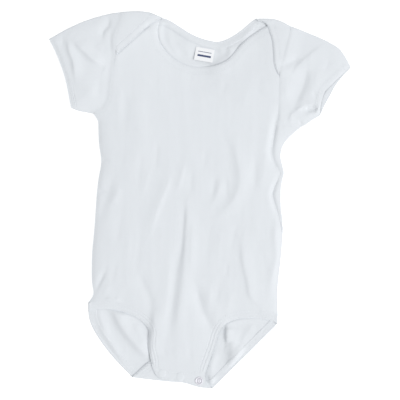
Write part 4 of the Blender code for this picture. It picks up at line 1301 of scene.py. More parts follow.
@dataclass
class Stitching:
    """Rows of thread laid along seams: one stitch modelled once and copied along each row."""

    name: str
    rows: list[Array]
    pitch: float = STITCH_PITCH
    length: float = STITCH_LENGTH
    thickness: float = THREAD
    stand: float = 0.32  # how far a stitch's middle is above the cloth, as a share
    plumpness: float = 0.7  # below 1, its ends are blunter

    def one_stitch(self) -> tuple[Array, list[tuple[int, ...]]]:
        """Models one stitch: a low ball drawn out along X.

        Returns:
            Its points, in millimetres, and its faces in a fixed order.
        """
        bpy.ops.object.select_all(action="DESELECT")
        bpy.ops.mesh.primitive_uv_sphere_add(segments=6, ring_count=5, radius=0.5)
        mesh = bpy.context.object.data
        points = np.array([tuple(vert.co) for vert in mesh.vertices])
        faces = sorted(self.from_lowest(tuple(face.vertices)) for face in mesh.polygons)
        bpy.data.objects.remove(bpy.context.object)
        bpy.data.meshes.remove(mesh)
        points = points[:, [2, 0, 1]]
        points[:, 0] = np.sign(points[:, 0]) * np.abs(points[:, 0] * 2) ** self.plumpness / 2
        return points * [self.length, self.thickness, self.thickness], faces

    @staticmethod
    def from_lowest(face: tuple[int, ...]) -> tuple[int, ...]:
        """Returns a face's corners from the lowest index on."""
        start = face.index(min(face))
        return face[start:] + face[:start]

    def build(self) -> bpy.types.Object:
        """Copies the stitch along every row and returns the piece."""
        shape, faces = self.one_stitch()
        points, found = [], []
        half = self.length / 2
        for row in self.rows:
            line = resample(row, self.pitch / 4)
            run = run_of(line)
            for at in np.arange(self.pitch / 2, run[-1], self.pitch):
                spot, start, end = points_at(line, run, at + np.array([0, -half, half]))
                along = end - start
                along /= norm(along)
                across = np.cross([0, 0, 1], along)
                across /= norm(across)
                up = np.cross(along, across)
                found += [tuple(len(points) * len(shape) + k for k in face) for face in faces]
                placed = shape @ np.array([along, across, up])
                points.append(placed + spot + [0, 0, self.thickness * self.stand])
        mesh = bpy.data.meshes.new(self.name)
        mesh.from_pydata([Vector(p) for p in np.vstack(points) * MM], [], found)
        mesh.materials.append(COTTON_THREAD.material())
        mesh.polygons.foreach_set("use_smooth", [True] * len(mesh.polygons))
        return add_object(self.name, mesh)


# ---- finishes ----


@dataclass(frozen=True)
class Nodes:
    """A shader's node tree, with short ways to add to it."""

    tree: bpy.types.NodeTree

    def feed(self, node: bpy.types.Node, inputs: Inputs) -> bpy.types.Node:
        """Sets a node's inputs, or links sockets to them.

        Args:
            node: The node.
            inputs: A value or a socket for each input.

        Returns:
            The node.
        """
        for key, value in inputs.items():
            if isinstance(value, Socket):
                self.tree.links.new(value, node.inputs[key])
            else:
                node.inputs[key].default_value = value
        return node

    def add(self, kind: str, inputs: Inputs | None = None, **values: object) -> bpy.types.Node:
        """Adds a node.

        Args:
            kind: Its type, without the words that every type here starts with.
            inputs: A value or a socket for each of its inputs.
            values: Its properties by name.

        Returns:
            The node.
        """
        node = self.tree.nodes.new("ShaderNode" + kind)
        for name, value in values.items():
            setattr(node, name, value)
        return self.feed(node, inputs or {})

    def math(self, operation: str, *inputs: object) -> Socket:
        """Returns the result of a new Math node, from sockets or numbers."""
        return self.add("Math", dict(enumerate(inputs)), operation=operation).outputs[0]

    def mix(self, share: Socket, first: Colour | Socket,
            second: Colour) -> Socket:
        """Mixes two colours.

        Args:
            share: How much of the second shows.
            first: The first colour, or the socket of one.
            second: The second colour.

        Returns:
            The mixed colour.
        """
        base = first if isinstance(first, Socket) else (*first, 1)
        made = self.add("Mix", {"Factor": share, 6: base, 7: (*second, 1)}, data_type="RGBA")
        return made.outputs[2]

    def bump(self, height: Socket, strength: float, depth: float
             ) -> Socket:
        """Returns the normal of a bump, from its height and its depth in millimetres."""
        inputs = {"Height": height, "Strength": strength, "Distance": depth * MM}
        return self.add("Bump", inputs).outputs["Normal"]


def knit_group() -> bpy.types.NodeTree:
    """Builds the effect of a fine rib knit: columns of small slanted loops.

    Returns:
        The group, which is built on its first use.
    """
    name = "Rib knit"
    if name in bpy.data.node_groups:
        return bpy.data.node_groups[name]
    tree = bpy.data.node_groups.new(name, "ShaderNodeTree")
    tree.interface.new_socket("Vector", in_out="INPUT", socket_type="NodeSocketVector")
    for label, value in (("Wale", 1.2), ("Course", 0.9), ("Loops", 0.35), ("Uneven", 0.3)):
        socket = tree.interface.new_socket(label, in_out="INPUT", socket_type="NodeSocketFloat")
        socket.default_value = value
    for label in ("Height", "Groove", "Fuzz"):
        tree.interface.new_socket(label, in_out="OUTPUT", socket_type="NodeSocketFloat")
    given = tree.nodes.new("NodeGroupInput").outputs
    result = tree.nodes.new("NodeGroupOutput")
    nodes = Nodes(tree)
    math = nodes.math
    place = nodes.add("SeparateXYZ", {0: given["Vector"]}).outputs
    drift = nodes.add("TexNoise", {"Vector": given["Vector"], "Scale": 0.09, "Detail": 2},
                      noise_dimensions="2D").outputs["Fac"]
    swing = math("MULTIPLY", math("SUBTRACT", drift, 0.5), math("MULTIPLY", given["Uneven"], 5.0))
    column = math("DIVIDE", math("ADD", place["X"], swing), given["Wale"])
    middle = math("MULTIPLY", math("ABSOLUTE", math("SUBTRACT", math("FRACT", column), 0.5)), 2.0)
    square = math("MULTIPLY", math("MULTIPLY", middle, middle), 0.96)
    rib = math("SQRT", math("SUBTRACT", 1.0, square))
    course = math("ADD", math("DIVIDE", place["Y"], given["Course"]),
                  math("MULTIPLY", middle, 0.55))
    loop = math("MULTIPLY_ADD", math("SINE", math("MULTIPLY", course, 2 * pi)), 0.5, 0.5)
    height = math("MULTIPLY", rib, math("SUBTRACT", 1.0, math("MULTIPLY", given["Loops"], loop)))
    fuzz = nodes.add("TexNoise", {"Vector": given["Vector"], "Scale": 2.4, "Detail": 3,
                                  "Roughness": 0.7}, noise_dimensions="2D").outputs["Fac"]
    nodes.feed(result, {"Height": math("MULTIPLY_ADD", fuzz, 0.35, height),
                        "Groove": math("SUBTRACT", 1.0, height), "Fuzz": drift})
    return tree


@dataclass(frozen=True)
class Finish:
    """One finish: its name, its colour, and how rough it is."""

    name: str
    colour: Colour
    roughness: float

    def material(self) -> bpy.types.Material:
        """Returns the material, made on its first use."""
        made = bpy.data.materials.get(self.name)
        if made is None:
            made = bpy.data.materials.new(self.name)
            made.use_nodes = True
            nodes = Nodes(made.node_tree)
            shader = made.node_tree.nodes["Principled BSDF"]
            nodes.feed(shader, {"Base Color": (*self.colour, 1), "Roughness": self.roughness})
            nodes.feed(shader, self.dress(nodes))
        return made

    def dress(self, nodes: Nodes) -> Inputs:
        """Returns the shader's inputs."""
        raise NotImplementedError


@dataclass(frozen=True)
class KnitFinish(Finish):
    """Knitted cotton: ribs and loops by its own map, painted shade darkening its grooves, and a
    faint unevenness.
    """

    # the colour that the grooves darken towards as painted shade, and that the random unevenness
    # also tends to
    shade: Colour = (0.66, 0.68, 0.71)
    wale: float = 1.2
    course: float = 0.9
    loops: float = 0.35
    relief: float = 0.16

    def dress(self, nodes: Nodes) -> Inputs:
        """Returns the shader's inputs."""
        place = nodes.add("UVMap", uv_map="UVMap").outputs["UV"]
        size = nodes.add("Mapping", {"Vector": place, "Scale": (1000, 1000, 1000)})
        knit = nodes.feed(nodes.add("Group", node_tree=knit_group()), {
            "Vector": size.outputs["Vector"], "Wale": self.wale, "Course": self.course,
            "Loops": self.loops}).outputs
        # painted shade: the colour darkens in the knit's grooves, where its height is low
        groove = nodes.math("MULTIPLY", knit["Groove"], 0.45)
        uneven = nodes.math("MULTIPLY", knit["Fuzz"], 0.12)
        return {
            "Base Color": nodes.mix(nodes.math("ADD", groove, uneven), self.colour, self.shade),
            "Roughness": nodes.math("MULTIPLY_ADD", knit["Groove"], 0.06, self.roughness),
            "Normal": nodes.bump(knit["Height"], 0.6, self.relief),
            "Specular IOR Level": 0.25, "Sheen Weight": 0.12, "Sheen Roughness": 0.6,
        }


@dataclass(frozen=True)
class ThreadFinish(Finish):
    """Cotton sewing thread with fine slanted plies."""

    shade: Colour = (0.70, 0.72, 0.75)

    def dress(self, nodes: Nodes) -> Inputs:
        """Returns the shader's inputs."""
        ply = nodes.add("TexWave", {
            "Vector": nodes.add("TexCoord").outputs["Object"], "Scale": 900, "Distortion": 0.6,
        }, wave_type="BANDS", bands_direction="DIAGONAL").outputs["Fac"]
        share = nodes.math("MULTIPLY", ply, 0.4)
        return {"Base Color": nodes.mix(share, self.colour, self.shade),
                "Normal": nodes.bump(ply, 0.4, 0.05), "Sheen Weight": 0.1}


@dataclass(frozen=True)
class SatinFinish(Finish):
    """Woven satin ribbon: a fine weave with painted shade in its gaps, its sheen, and two plain
    stripes across it.
    """

    shade: Colour = (0.68, 0.69, 0.72)
    ink: Colour = (0.05, 0.07, 0.16)
    stripes: tuple[Pair, ...] = ((0.70, 0.022), (0.40, 0.075))
    ends: Pair = (0.14, 0.86)

    def dress(self, nodes: Nodes) -> Inputs:
        """Returns the shader's inputs."""
        math = nodes.math
        place = nodes.add("UVMap", uv_map="UVMap").outputs["UV"]
        split = nodes.add("SeparateXYZ", {0: place}).outputs
        size = nodes.add("Mapping", {"Vector": place, "Scale": (90, 60, 1)})
        weave = nodes.add("TexBrick", {
            "Vector": size.outputs["Vector"], "Scale": 1, "Mortar Size": 0.06,
            "Brick Width": 3.0, "Row Height": 1.0, "Color1": (1, 1, 1, 1),
            "Color2": (0.85, 0.85, 0.85, 1), "Mortar": (0, 0, 0, 1),
        }, offset=0.5).outputs
        between = math("MULTIPLY", math("GREATER_THAN", split["X"], self.ends[0]),
                       math("LESS_THAN", split["X"], self.ends[1]))
        inked = None
        for centre, half in self.stripes:
            away = math("ABSOLUTE", math("SUBTRACT", split["Y"], centre))
            stripe = math("MULTIPLY", math("LESS_THAN", away, half), between)
            inked = stripe if inked is None else math("MAXIMUM", inked, stripe)
        # painted shade: the colour darkens in the gaps between the woven threads
        woven = nodes.mix(math("MULTIPLY", weave["Fac"], 0.25), self.colour, self.shade)
        return {"Base Color": nodes.mix(inked, woven, self.ink),
                "Normal": nodes.bump(weave["Color"], 0.5, 0.05), "Sheen Weight": 0.2}


@dataclass(frozen=True)
class MetalFinish(Finish):
    """Plated or lacquered metal, with faint tarnish and fine marks from use."""

    worn: Colour
    metallic: float

    def dress(self, nodes: Nodes) -> Inputs:
        """Returns the shader's inputs."""
        marks = nodes.add("TexNoise", {
            "Vector": nodes.add("TexCoord").outputs["Object"], "Scale": 900, "Detail": 4,
        }).outputs["Fac"]
        share = nodes.math("MULTIPLY", marks, 0.5)
        return {"Base Color": nodes.mix(share, self.colour, self.worn),
                "Roughness": nodes.math("MULTIPLY_ADD", marks, 0.2, self.roughness),
                "Normal": nodes.bump(marks, 0.15, 0.03), "Metallic": self.metallic}


@dataclass(frozen=True)
class FloorFinish(Finish):
    """A pale, matt floor, which shows white without lighting the cloth."""

    shade: Colour = (0.78, 0.78, 0.78)
    glow: float = 0.55

    def dress(self, nodes: Nodes) -> Inputs:
        """Returns the shader's inputs."""
        place = nodes.add("TexCoord").outputs["Object"]
        grain = nodes.add("TexNoise", {"Vector": place, "Scale": 40}).outputs["Fac"]
        seen = nodes.add("LightPath").outputs["Is Camera Ray"]
        return {"Base Color": nodes.mix(grain, self.colour, self.shade),
                "Specular IOR Level": 0.1, "Emission Color": (1, 1, 1, 1),
                "Emission Strength": nodes.math("MULTIPLY", seen, self.glow)}


@dataclass(frozen=True)
class FloorFinish(Finish):
    """A pale, matt floor, which shows white without lighting the cloth."""

    shade: Colour = (0.78, 0.78, 0.78)
    glow: float = 0.55

    def dress(self, nodes: Nodes) -> Inputs:
        """Returns the shader's inputs."""
        place = nodes.add("TexCoord").outputs["Object"]
        grain = nodes.add("TexNoise", {"Vector": place, "Scale": 40}).outputs["Fac"]
        seen = nodes.add("LightPath").outputs["Is Camera Ray"]
        return {"Base Color": nodes.mix(grain, self.colour, self.shade),
                "Specular IOR Level": 0.1, "Emission Color": (1, 1, 1, 1),
                "Emission Strength": nodes.math("MULTIPLY", seen, self.glow)}


KNIT = KnitFinish("knitted_cotton", (0.76, 0.785, 0.81), 0.88)
BINDING = KnitFinish("rib_binding", (0.76, 0.785, 0.81), 0.88, wale=1.0, course=0.8,
                     loops=0.3, relief=0.18)
COTTON_THREAD = ThreadFinish("cotton_thread", (0.83, 0.85, 0.87), 0.7)
SATIN = SatinFinish("satin_ribbon", (0.88, 0.885, 0.90), 0.38)
NICKEL = MetalFinish("plated_ring", (0.80, 0.79, 0.83), 0.42, (0.68, 0.67, 0.72), 0.55)
LACQUER = MetalFinish("lacquered_cap", (0.735, 0.76, 0.785), 0.6, (0.715, 0.74, 0.765), 0.0)
# a darker finish for a ring's sunk middle: painted shade in the recess
SHADOWED = MetalFinish("popper_recess_painted_shade", (0.52, 0.51, 0.57), 0.5, (0.40, 0.40, 0.45), 0.3)


# ---- the pieces ----


def own(piece: bpy.types.Object, slot: str, *nodes: str) -> bpy.types.Object:
    """Gives a piece its body, hides the imported parts of the nodes that it stands for, and logs
    its triangles.

    Args:
        piece: The piece.
        slot: Not used.
        nodes: The nodes that it stands for.

    Returns:
        The piece.
    """
    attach(piece, "root")
    if nodes:
        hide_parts(*nodes)
    faces = sum(len(face.vertices) - 2 for face in piece.data.polygons)
    log.info("%s: %d triangles", piece.name, faces)
    return piece


@dataclass
class Neck:
    """The bindings of the neck: the back neck's, from lap tip to lap tip, and the front's."""

    profile: Profile = Profile(NECK_BAND_WIDTH, (1.2, 6.8), 0.26)
    front_profile: Profile = Profile(NECK_BAND_WIDTH, (1.2, 6.8), 0.08, curl=0.3)
    turn_top: float = 4.5
    droops: Pair = (0.85, 0.6)  # at the left and at the right
    left_width: float = 13.0
    right_width: float = 18.0
    roll: Pair = (1.4, 0.5)  # at the left and at the right
    cut: float = 0.016

    def __post_init__(self) -> None:
        """Finds the turns at the shoulders, and the rungs of each stretch."""
        self.left_turn = wrap_place(smooth(SHOULDER_LEFT, 1)[::-1], self.left_width, 1,
                                    self.turn_top, self.droops[0])
        self.right_turn = wrap_place(smooth(SHOULDER_RIGHT, 1), self.right_width, -1,
                                     self.turn_top, self.droops[1])
        width = self.profile.width
        left = rungs(smooth(LAP_LEFT), width, smooth(ARMHOLE_LEFT))
        right = rungs(smooth(LAP_RIGHT), width, smooth(ARMHOLE_RIGHT))
        neck = rungs(smooth(NECK_BACK), -width)
        neck = turned(neck, self.left_turn, 0, True)
        self.back = turned(neck, self.right_turn, -1, True)
        self.left = turned(left, self.left_turn, -1)
        self.right = turned(right, self.right_turn, 0)
        self.front = rungs(smooth(NECK_FRONT), -width)

    def build(self) -> None:
        """Makes both bindings with their stitches."""
        def on_lap(points: Line) -> Array:
            """Returns the top of the binding on a lap, just proud of it."""
            return RELIEF.lap(points) + PROUD

        def rolled(points: Line) -> Array:
            """Returns the underside of the back neck's binding, which rolls up a little."""
            share = distance_to(points, smooth(NECK_BACK, PLAN_STEP)) / self.profile.width
            roll = np.interp(points[:, 0], (-5, 20), self.roll)
            return RELIEF.floor(points) + roll * np.sin(np.clip(share, 0, 1) ** 1.4 * pi) ** 2

        band = Band(self.profile)
        band.stretch(self.left, on_lap, [self.left_turn])
        band.turn(self.left_turn)
        band.stretch(self.back, rolled, [self.left_turn, self.right_turn], below=True, depth=0.4)
        band.turn(self.right_turn)
        band.stretch(self.right, on_lap, [self.right_turn], depth=0.2)
        band.build("neck_binding_back", "neck_band_back", self.cut, Hold.FOLDED, "back")
        below = Band(self.front_profile)
        below.stretch(self.front, lambda points: RELIEF.top(points) + RELIEF.nestle(points),
                      soften=self.soft)
        below.build("neck_binding_front", "neck_band_front", self.cut, Hold.LAID, "front")

    @staticmethod
    def soft(points: Line) -> Array:
        """Returns how much the front's rim thins out: most at its left."""
        x, y = points.T
        return np.clip((8 - x) / 25, 0, 1) * np.clip(0.6 + (y - 162) / 30, 0.6, 1)


@dataclass
class Leg:
    """The binding of one leg: the front, round the hip, the back, and round the tab."""

    side: Side
    profile: Profile = Profile(LEG_BAND_WIDTH, (1.3, 4.2, 7.2), 0.34)
    turn_width: float = 9.5
    foot_width: float = 11.5
    turn_top: float = 2.9
    cut: float = 0.017

    def __post_init__(self) -> None:
        """Finds the two turns, and the rungs of each stretch."""
        if self.side is Side.LEFT:
            front, back, tab = LEG_FRONT_LEFT, LEG_BACK_LEFT, BACK_TAB_LEFT
            hip = [(-118.4, -118.2), (-118.6, -113), (-118.2, -108.5), (-113, -99.5)]
            foot, end = smooth(BOTTOM, 1), (-43.5, -177.4)
        else:
            front, back, tab = LEG_FRONT_RIGHT, LEG_BACK_RIGHT, BACK_TAB_RIGHT
            hip = [(82, -131.2), (82.5, -126), (82.4, -121), (81.8, -112)]
            foot, end = smooth(BOTTOM, 1)[::-1], (-2, -180.8)
        way = self.side.value
        width = way * self.profile.width
        self.hip = wrap_place(smooth(hip, 1), self.turn_width, -way, self.turn_top)
        self.foot = wrap_place(foot, self.foot_width, way, TAB_TOP)
        below = turned(rungs(smooth(back), width), self.hip, 0, True)
        self.front = turned(rungs(smooth(front), width, end=end), self.hip, 0)
        self.back = turned(below, self.foot, -1, True)
        self.tab = turned(rungs(smooth(tab), -width), self.foot, 0)

    def build(self) -> None:
        """Makes the binding with its stitches."""
        band = Band(self.profile)
        flipped = [line[::-1] for line in self.front]
        band.stretch(flipped, on_front, [self.hip], depth=self.pull)
        band.turn(self.hip)
        band.stretch(self.back, RELIEF.floor, [self.hip, self.foot], below=True, depth=0.3)
        band.turn(self.foot)
        band.stretch(self.tab, RELIEF.tab, [self.foot], depth=0.4)
        side = self.side.name.lower()
        band.build("leg_binding_" + side, "leg_band_" + side, self.cut, Hold.FOLDED, "back")

    @staticmethod
    def pull(points: Line) -> Array:
        """Returns how deep the stitches are: deepest down the sides of the tab."""
        return np.clip((50 - np.abs(points[:, 0] + 20)) / 10, 0.15, 1)


def on_front(points: Line) -> Array:
    """Returns the top of what is sewn on the front, just proud of it."""
    return RELIEF.top(points) + PROUD


@dataclass
class Back:
    """The back: its lower layer, the two laps, the strip at the right side and the tab."""

    neck: Neck
    legs: tuple[Leg, Leg]
    flat: Pair = (0.265, 0.50)

    def build(self) -> None:
        """Makes the back."""
        neck, (left_leg, right_leg), gap = self.neck, self.legs, SEAM / 2
        shoulder_left = cut_before(smooth(SHOULDER_LEFT), neck.left_turn)
        shoulder_right = cut_before(smooth(SHOULDER_RIGHT)[::-1], neck.right_turn)[::-1]
        fold_left = folded(shoulder_left, -1, RELIEF.lap, start=SEAM)
        fold_right = folded(shoulder_right, -1, RELIEF.lap, end=SEAM)
        fold_strip = folded(body_edge("right", 0, STRIP_END), -1, RELIEF.top, start=SEAM)
        bottom = cut_before(
            cut_before(smooth(BOTTOM), right_leg.foot)[::-1], left_leg.foot)[::-1]
        fold_bottom = folded(bottom, 1, RELIEF.tab)
        armhole_left = beside(smooth(ARMHOLE_LEFT), gap)[1:]
        armhole_right = beside(smooth(ARMHOLE_RIGHT), -gap)
        strip_seam = beside(body_edge("seam", 0, STRIP_END), gap)
        armpit = beside(smooth(ARMPIT_RIGHT), -gap)[:-1]
        folds = [fold_left[0], fold_right[0], fold_strip[0], fold_bottom[0]]
        right_side = RELIEF.side_right[RELIEF.side_right[:, 1] < BODY[STRIP_END].y - 3]
        shell = Shell()
        shell.sheet(loop_of(
            fold_left[0], clear_of(panel_line(neck.back), folds), fold_right[0],
            clear_of(beside(smooth(ARMHOLE_RIGHT_BELOW), -gap), folds, AT_FOLD), fold_strip[0],
            resample(right_side, STEP), [right_leg.hip.end()],
            clear_of(panel_line(right_leg.back), folds), fold_bottom[0][::-1],
            clear_of(panel_line(left_leg.back), folds)[::-1], [left_leg.hip.end()],
            side_left()[::-1],
            clear_of(armhole_left[::-1][1:], folds, AT_FOLD),
        ), RELIEF.floor, COARSE, dense=RELIEF.openings)
        for fold in (fold_left, fold_right, fold_strip, fold_bottom):
            shell.bend(*fold)
        for fold, pairs, area, armhole, way in (
            (fold_left, neck.left, RELIEF.laps[0], armhole_left, 1),
            (fold_right, neck.right, RELIEF.laps[1], armhole_right, -1),
        ):
            inner = panel_line(pairs)
            inner = clear_of(inner[inside(inner, area)], folds)
            edge = armhole[armhole[:, 1] > inner[::way][0][1] + 2][::-way]
            edges = (inner[::-1], clear_of(edge, folds, AT_FOLD))
            shell.sheet(loop_of(fold[0], *edges[::way]), RELIEF.lap)
        shell.sheet(loop_of(
            fold_strip[0], clear_of(strip_seam[::-1], folds), clear_of(armpit, folds),
        ), RELIEF.top)
        shell.sheet(loop_of(
            fold_bottom[0][::-1], clear_of(panel_line(left_leg.tab), folds),
            smooth(BACK_TAB_TOP)[1:-1], clear_of(panel_line(right_leg.tab), folds)[::-1],
        ), RELIEF.tab)
        piece = own(shell.build("back_panel", KNIT.material(), CLOTH), "knit", "back")


@dataclass
class Front:
    """The front, which ends under the laps, and the placket of its tab."""

    neck: Neck
    legs: tuple[Leg, Leg]
    tuck: float = 2.6
    flat: Pair = (0.225, 0.39)
    tab_flat: Pair = (0.060, 0.034)
    hem_row: float = 1.6
    hem_dip: float = 0.36
    hem_edge: Pair = (0.45, 0.5)  # how far down the placket's edge goes, and from where

    def build(self) -> None:
        """Makes the front and the placket."""
        gap = SEAM / 2
        neck = panel_line(self.neck.front)
        top_left = beside(smooth(SHOULDER_LEFT), -self.tuck)
        top_left = top_left[(top_left[:, 0] < neck[0][0] - 2) & (top_left[:, 0] > -80)]
        top_right = beside(smooth(SHOULDER_RIGHT), -self.tuck)
        top_right = top_right[(top_right[:, 0] > neck[-1][0] + 1.5) & (top_right[:, 0] < 95)]
        seam = resample(np.vstack([beside(body_edge("seam", 0, STRIP_END), -gap),
                                   body_edge("right", STRIP_END + 1, RIGHT_HIP)]), STEP)
        armholes = [
            armhole[armhole[:, 1] < corner[1] - 0.5]
            for armhole, corner in ((beside(smooth(ARMHOLE_LEFT), gap)[1:], top_left[0]),
                                    (beside(smooth(ARMHOLE_RIGHT), -gap)[1:], top_right[-1]))]
        seam_line = self.tab_seam()
        tab = beside(seam_line, gap)[1:-1]
        leg_left, leg_right = (panel_line(leg.front) for leg in self.legs)
        shell = Shell()
        shell.sheet(loop_of(
            top_left, neck, top_right, armholes[1], seam,
            [self.legs[1].hip.end()], leg_right, tab[::-1], leg_left[::-1],
            [self.legs[0].hip.end()], side_left()[::-1], armholes[0][::-1],
        ), RELIEF.front, lines=self.lap_lines(neck, top_left, top_right))
        piece = own(shell.build("front_panel", KNIT.material(), CLOTH), "knit", "front")
        placket = Shell()
        ends = [leg.front[0][-1] + [0, -SEAM] for leg in self.legs]
        placket.sheet(loop_of(
            ends[:1], beside(seam_line, -gap), ends[1:], smooth(TAB_RIGHT)[::-1][:-1],
            smooth(TAB_HEM)[::-1],
        ), self.tab_top, FINER)
        piece = placket.build("tab_placket", KNIT.material(), BAND)
        rows = [np.column_stack([line, self.tab_top(line)]) for line in (
            beside(seam_line, -self.hem_row)[1:-1], beside(smooth(TAB_HEM), self.hem_row)[2:-4])]
        thread = own(Stitching("stitches_tab", rows).build(), "binding")
        own(piece, "knit", "tab_front")

    def tab_seam(self) -> Line:
        """Returns the seam of the front and its placket, from one leg's binding to the other's."""
        first, last = (tuple(leg.front[1][-1]) for leg in self.legs)
        return smooth([first, *TAB_LINE, last])

    @staticmethod
    def lap_lines(*edges: Line) -> list[Line]:
        """Finds where the front steps up beside the laps.

        Args:
            edges: The front's own edges, which the lines stay clear of.

        Returns:
            The edge of each lap, and a line just outside it.
        """
        found = []
        for lap in (LAP_LEFT, LAP_RIGHT):
            edge = smooth(lap, 1.2)[3:-3]
            found += [clear_of(line, edges, 2.2) for line in (edge, beside(edge, -1.1))]
        return found

    def tab_top(self, points: Line) -> Array:
        """Returns the top of the placket, with its turned hem and its rows of stitches."""
        hem = distance_to(points, smooth(TAB_HEM))
        top = distance_to(points, self.tab_seam())
        dips = bell(hem - self.hem_row, ROW_REACH) + bell(top - self.hem_row, ROW_REACH)
        edge = self.hem_edge[0] * bell(hem, self.hem_edge[1])
        return on_front(points) - edge - self.hem_dip * dips


@dataclass
class Sleeve:
    """One short sleeve: a flat tube, open at the cuff, with a turned hem."""

    side: Side
    flat: Pair = (0.225, 0.078)
    stitch_rows: ClassVar[tuple[float, ...]] = (2.6, 4.2, 5.8)

    def build(self) -> None:
        """Makes the sleeve and the stitches of its hem."""
        side, way = self.side.name.lower(), self.side.value
        if self.side is Side.LEFT:
            top, under, grain = SLEEVE_TOP_LEFT, UNDERARM_LEFT, -108
            cuffs = (CUFF_LEFT, CUFF_LEFT)
            armholes = (smooth(ARMHOLE_LEFT), smooth(ARMHOLE_LEFT))
        else:
            top, under, grain = SLEEVE_TOP_RIGHT, UNDERARM_RIGHT, 117
            cuffs = (CUFF_RIGHT_BELOW, CUFF_RIGHT_ABOVE)
            armholes = (smooth(ARMHOLE_RIGHT_BELOW),
                        np.vstack([smooth(ARMHOLE_RIGHT)[:-1], smooth(ARMPIT_RIGHT)]))
        fold_top = folded(smooth(top), way, RELIEF.sleeve, start=SEAM)
        fold_under = folded(smooth(under), way, RELIEF.sleeve, end=SEAM)
        folds = [fold_top[0], fold_under[0]]
        shell = Shell(grain)
        for cuff, armhole, height, spacing in zip(
            cuffs, armholes, (RELIEF.floor, RELIEF.sleeve), (COARSE, FINER)
        ):
            line = beside(armhole, -way * SEAM / 2)
            loop = loop_of(fold_top[0], clear_of(smooth(cuff), folds, 1.2), fold_under[0],
                           clear_of(line[::-1], folds, AT_FOLD))
            if shell.count == 0:
                shell.sheet(loop, height, spacing, dense=[RELIEF.cuff_mouth])
            else:
                rows = [clear_of(beside(smooth(cuff), way * (row + d)), folds, 1.6)
                        for row in self.stitch_rows for d in (-0.5, 0, 0.5)]
                shell.sheet(loop, height, spacing, rows)
        shell.bend(*fold_top)
        shell.bend(*fold_under)
        piece = own(shell.build("sleeve_tube_" + side, KNIT.material(), CLOTH), "knit",
                    "sleeve_" + side)
        rows = []
        for inset in self.stitch_rows:
            line = beside(smooth(cuffs[1]), way * inset)[3:-3]
            rows.append(np.column_stack([line, RELIEF.sleeve(line)]))
        thread = own(Stitching("stitches_cuff_" + side, rows, thickness=0.3).build(), "binding")


@dataclass
class Label:
    """A folded satin label, sewn in below the back neck's binding, with two plain stripes."""

    centre: ClassVar[Pair] = (4.6, 153.9)
    size: Pair = (20.0, 14.0)
    tilt: float = -10.0
    wall: float = 0.45
    rim: float = 0.035  # how far in its pressed edge reaches, as a share of its width
    cells: tuple[int, int] = (24, 16)

    def build(self) -> None:
        """Makes the label: a plane divided, curved, placed and thickened."""
        bpy.ops.object.select_all(action="DESELECT")
        bpy.ops.mesh.primitive_grid_add(
            x_subdivisions=self.cells[0], y_subdivisions=self.cells[1], size=1)
        obj = bpy.context.object
        obj.name = obj.data.name = "satin_label"
        width, length = self.size
        spin = Matrix.Rotation(radians(self.tilt), 3, "Z")
        for vert in obj.data.vertices:
            x, y = vert.co.x, vert.co.y
            lift = 0.9 * (0.5 - y) ** 2 + 0.5 * (0.5 - x) * (0.5 - y)
            rim = min(0.5 - abs(x), (y + 0.5) * length / width)
            fold = 0.25 if rim < self.rim else 0.5
            place = spin @ Vector((x * width, y * length, 0))
            vert.co = Vector((
                place.x + self.centre[0], place.y + self.centre[1],
                CLOTH + 0.05 + self.wall + max(lift, 0) * 0.9 + fold * 0.3)) * MM
        obj.data.materials.append(SATIN.material())
        modify(obj, "SOLIDIFY", thickness=self.wall * MM, offset=-1)
        bpy.ops.object.shade_smooth_by_angle(angle=SMOOTH_BELOW)
        piece = own(obj, "satin", "label")


# How a popper's face is turned from a disc: insets, each with a rise after it.
POPPER_STEPS = {
    PopperLook.RING: ((0.35, 0.45), (0.55, 0.12), (0.35, -0.08), (0.45, -0.38), (0.5, 0.0),
                      (0.35, 0.25), (0.5, 0.1), (0.6, -0.15)),
    PopperLook.CAP: ((0.5, 0.14), (0.8, 0.12), (0.9, 0.07), (1.1, 0.03)),
}
POPPER_SINK = {PopperLook.RING: 0.3, PopperLook.CAP: 0.58}  # how far it is pressed in


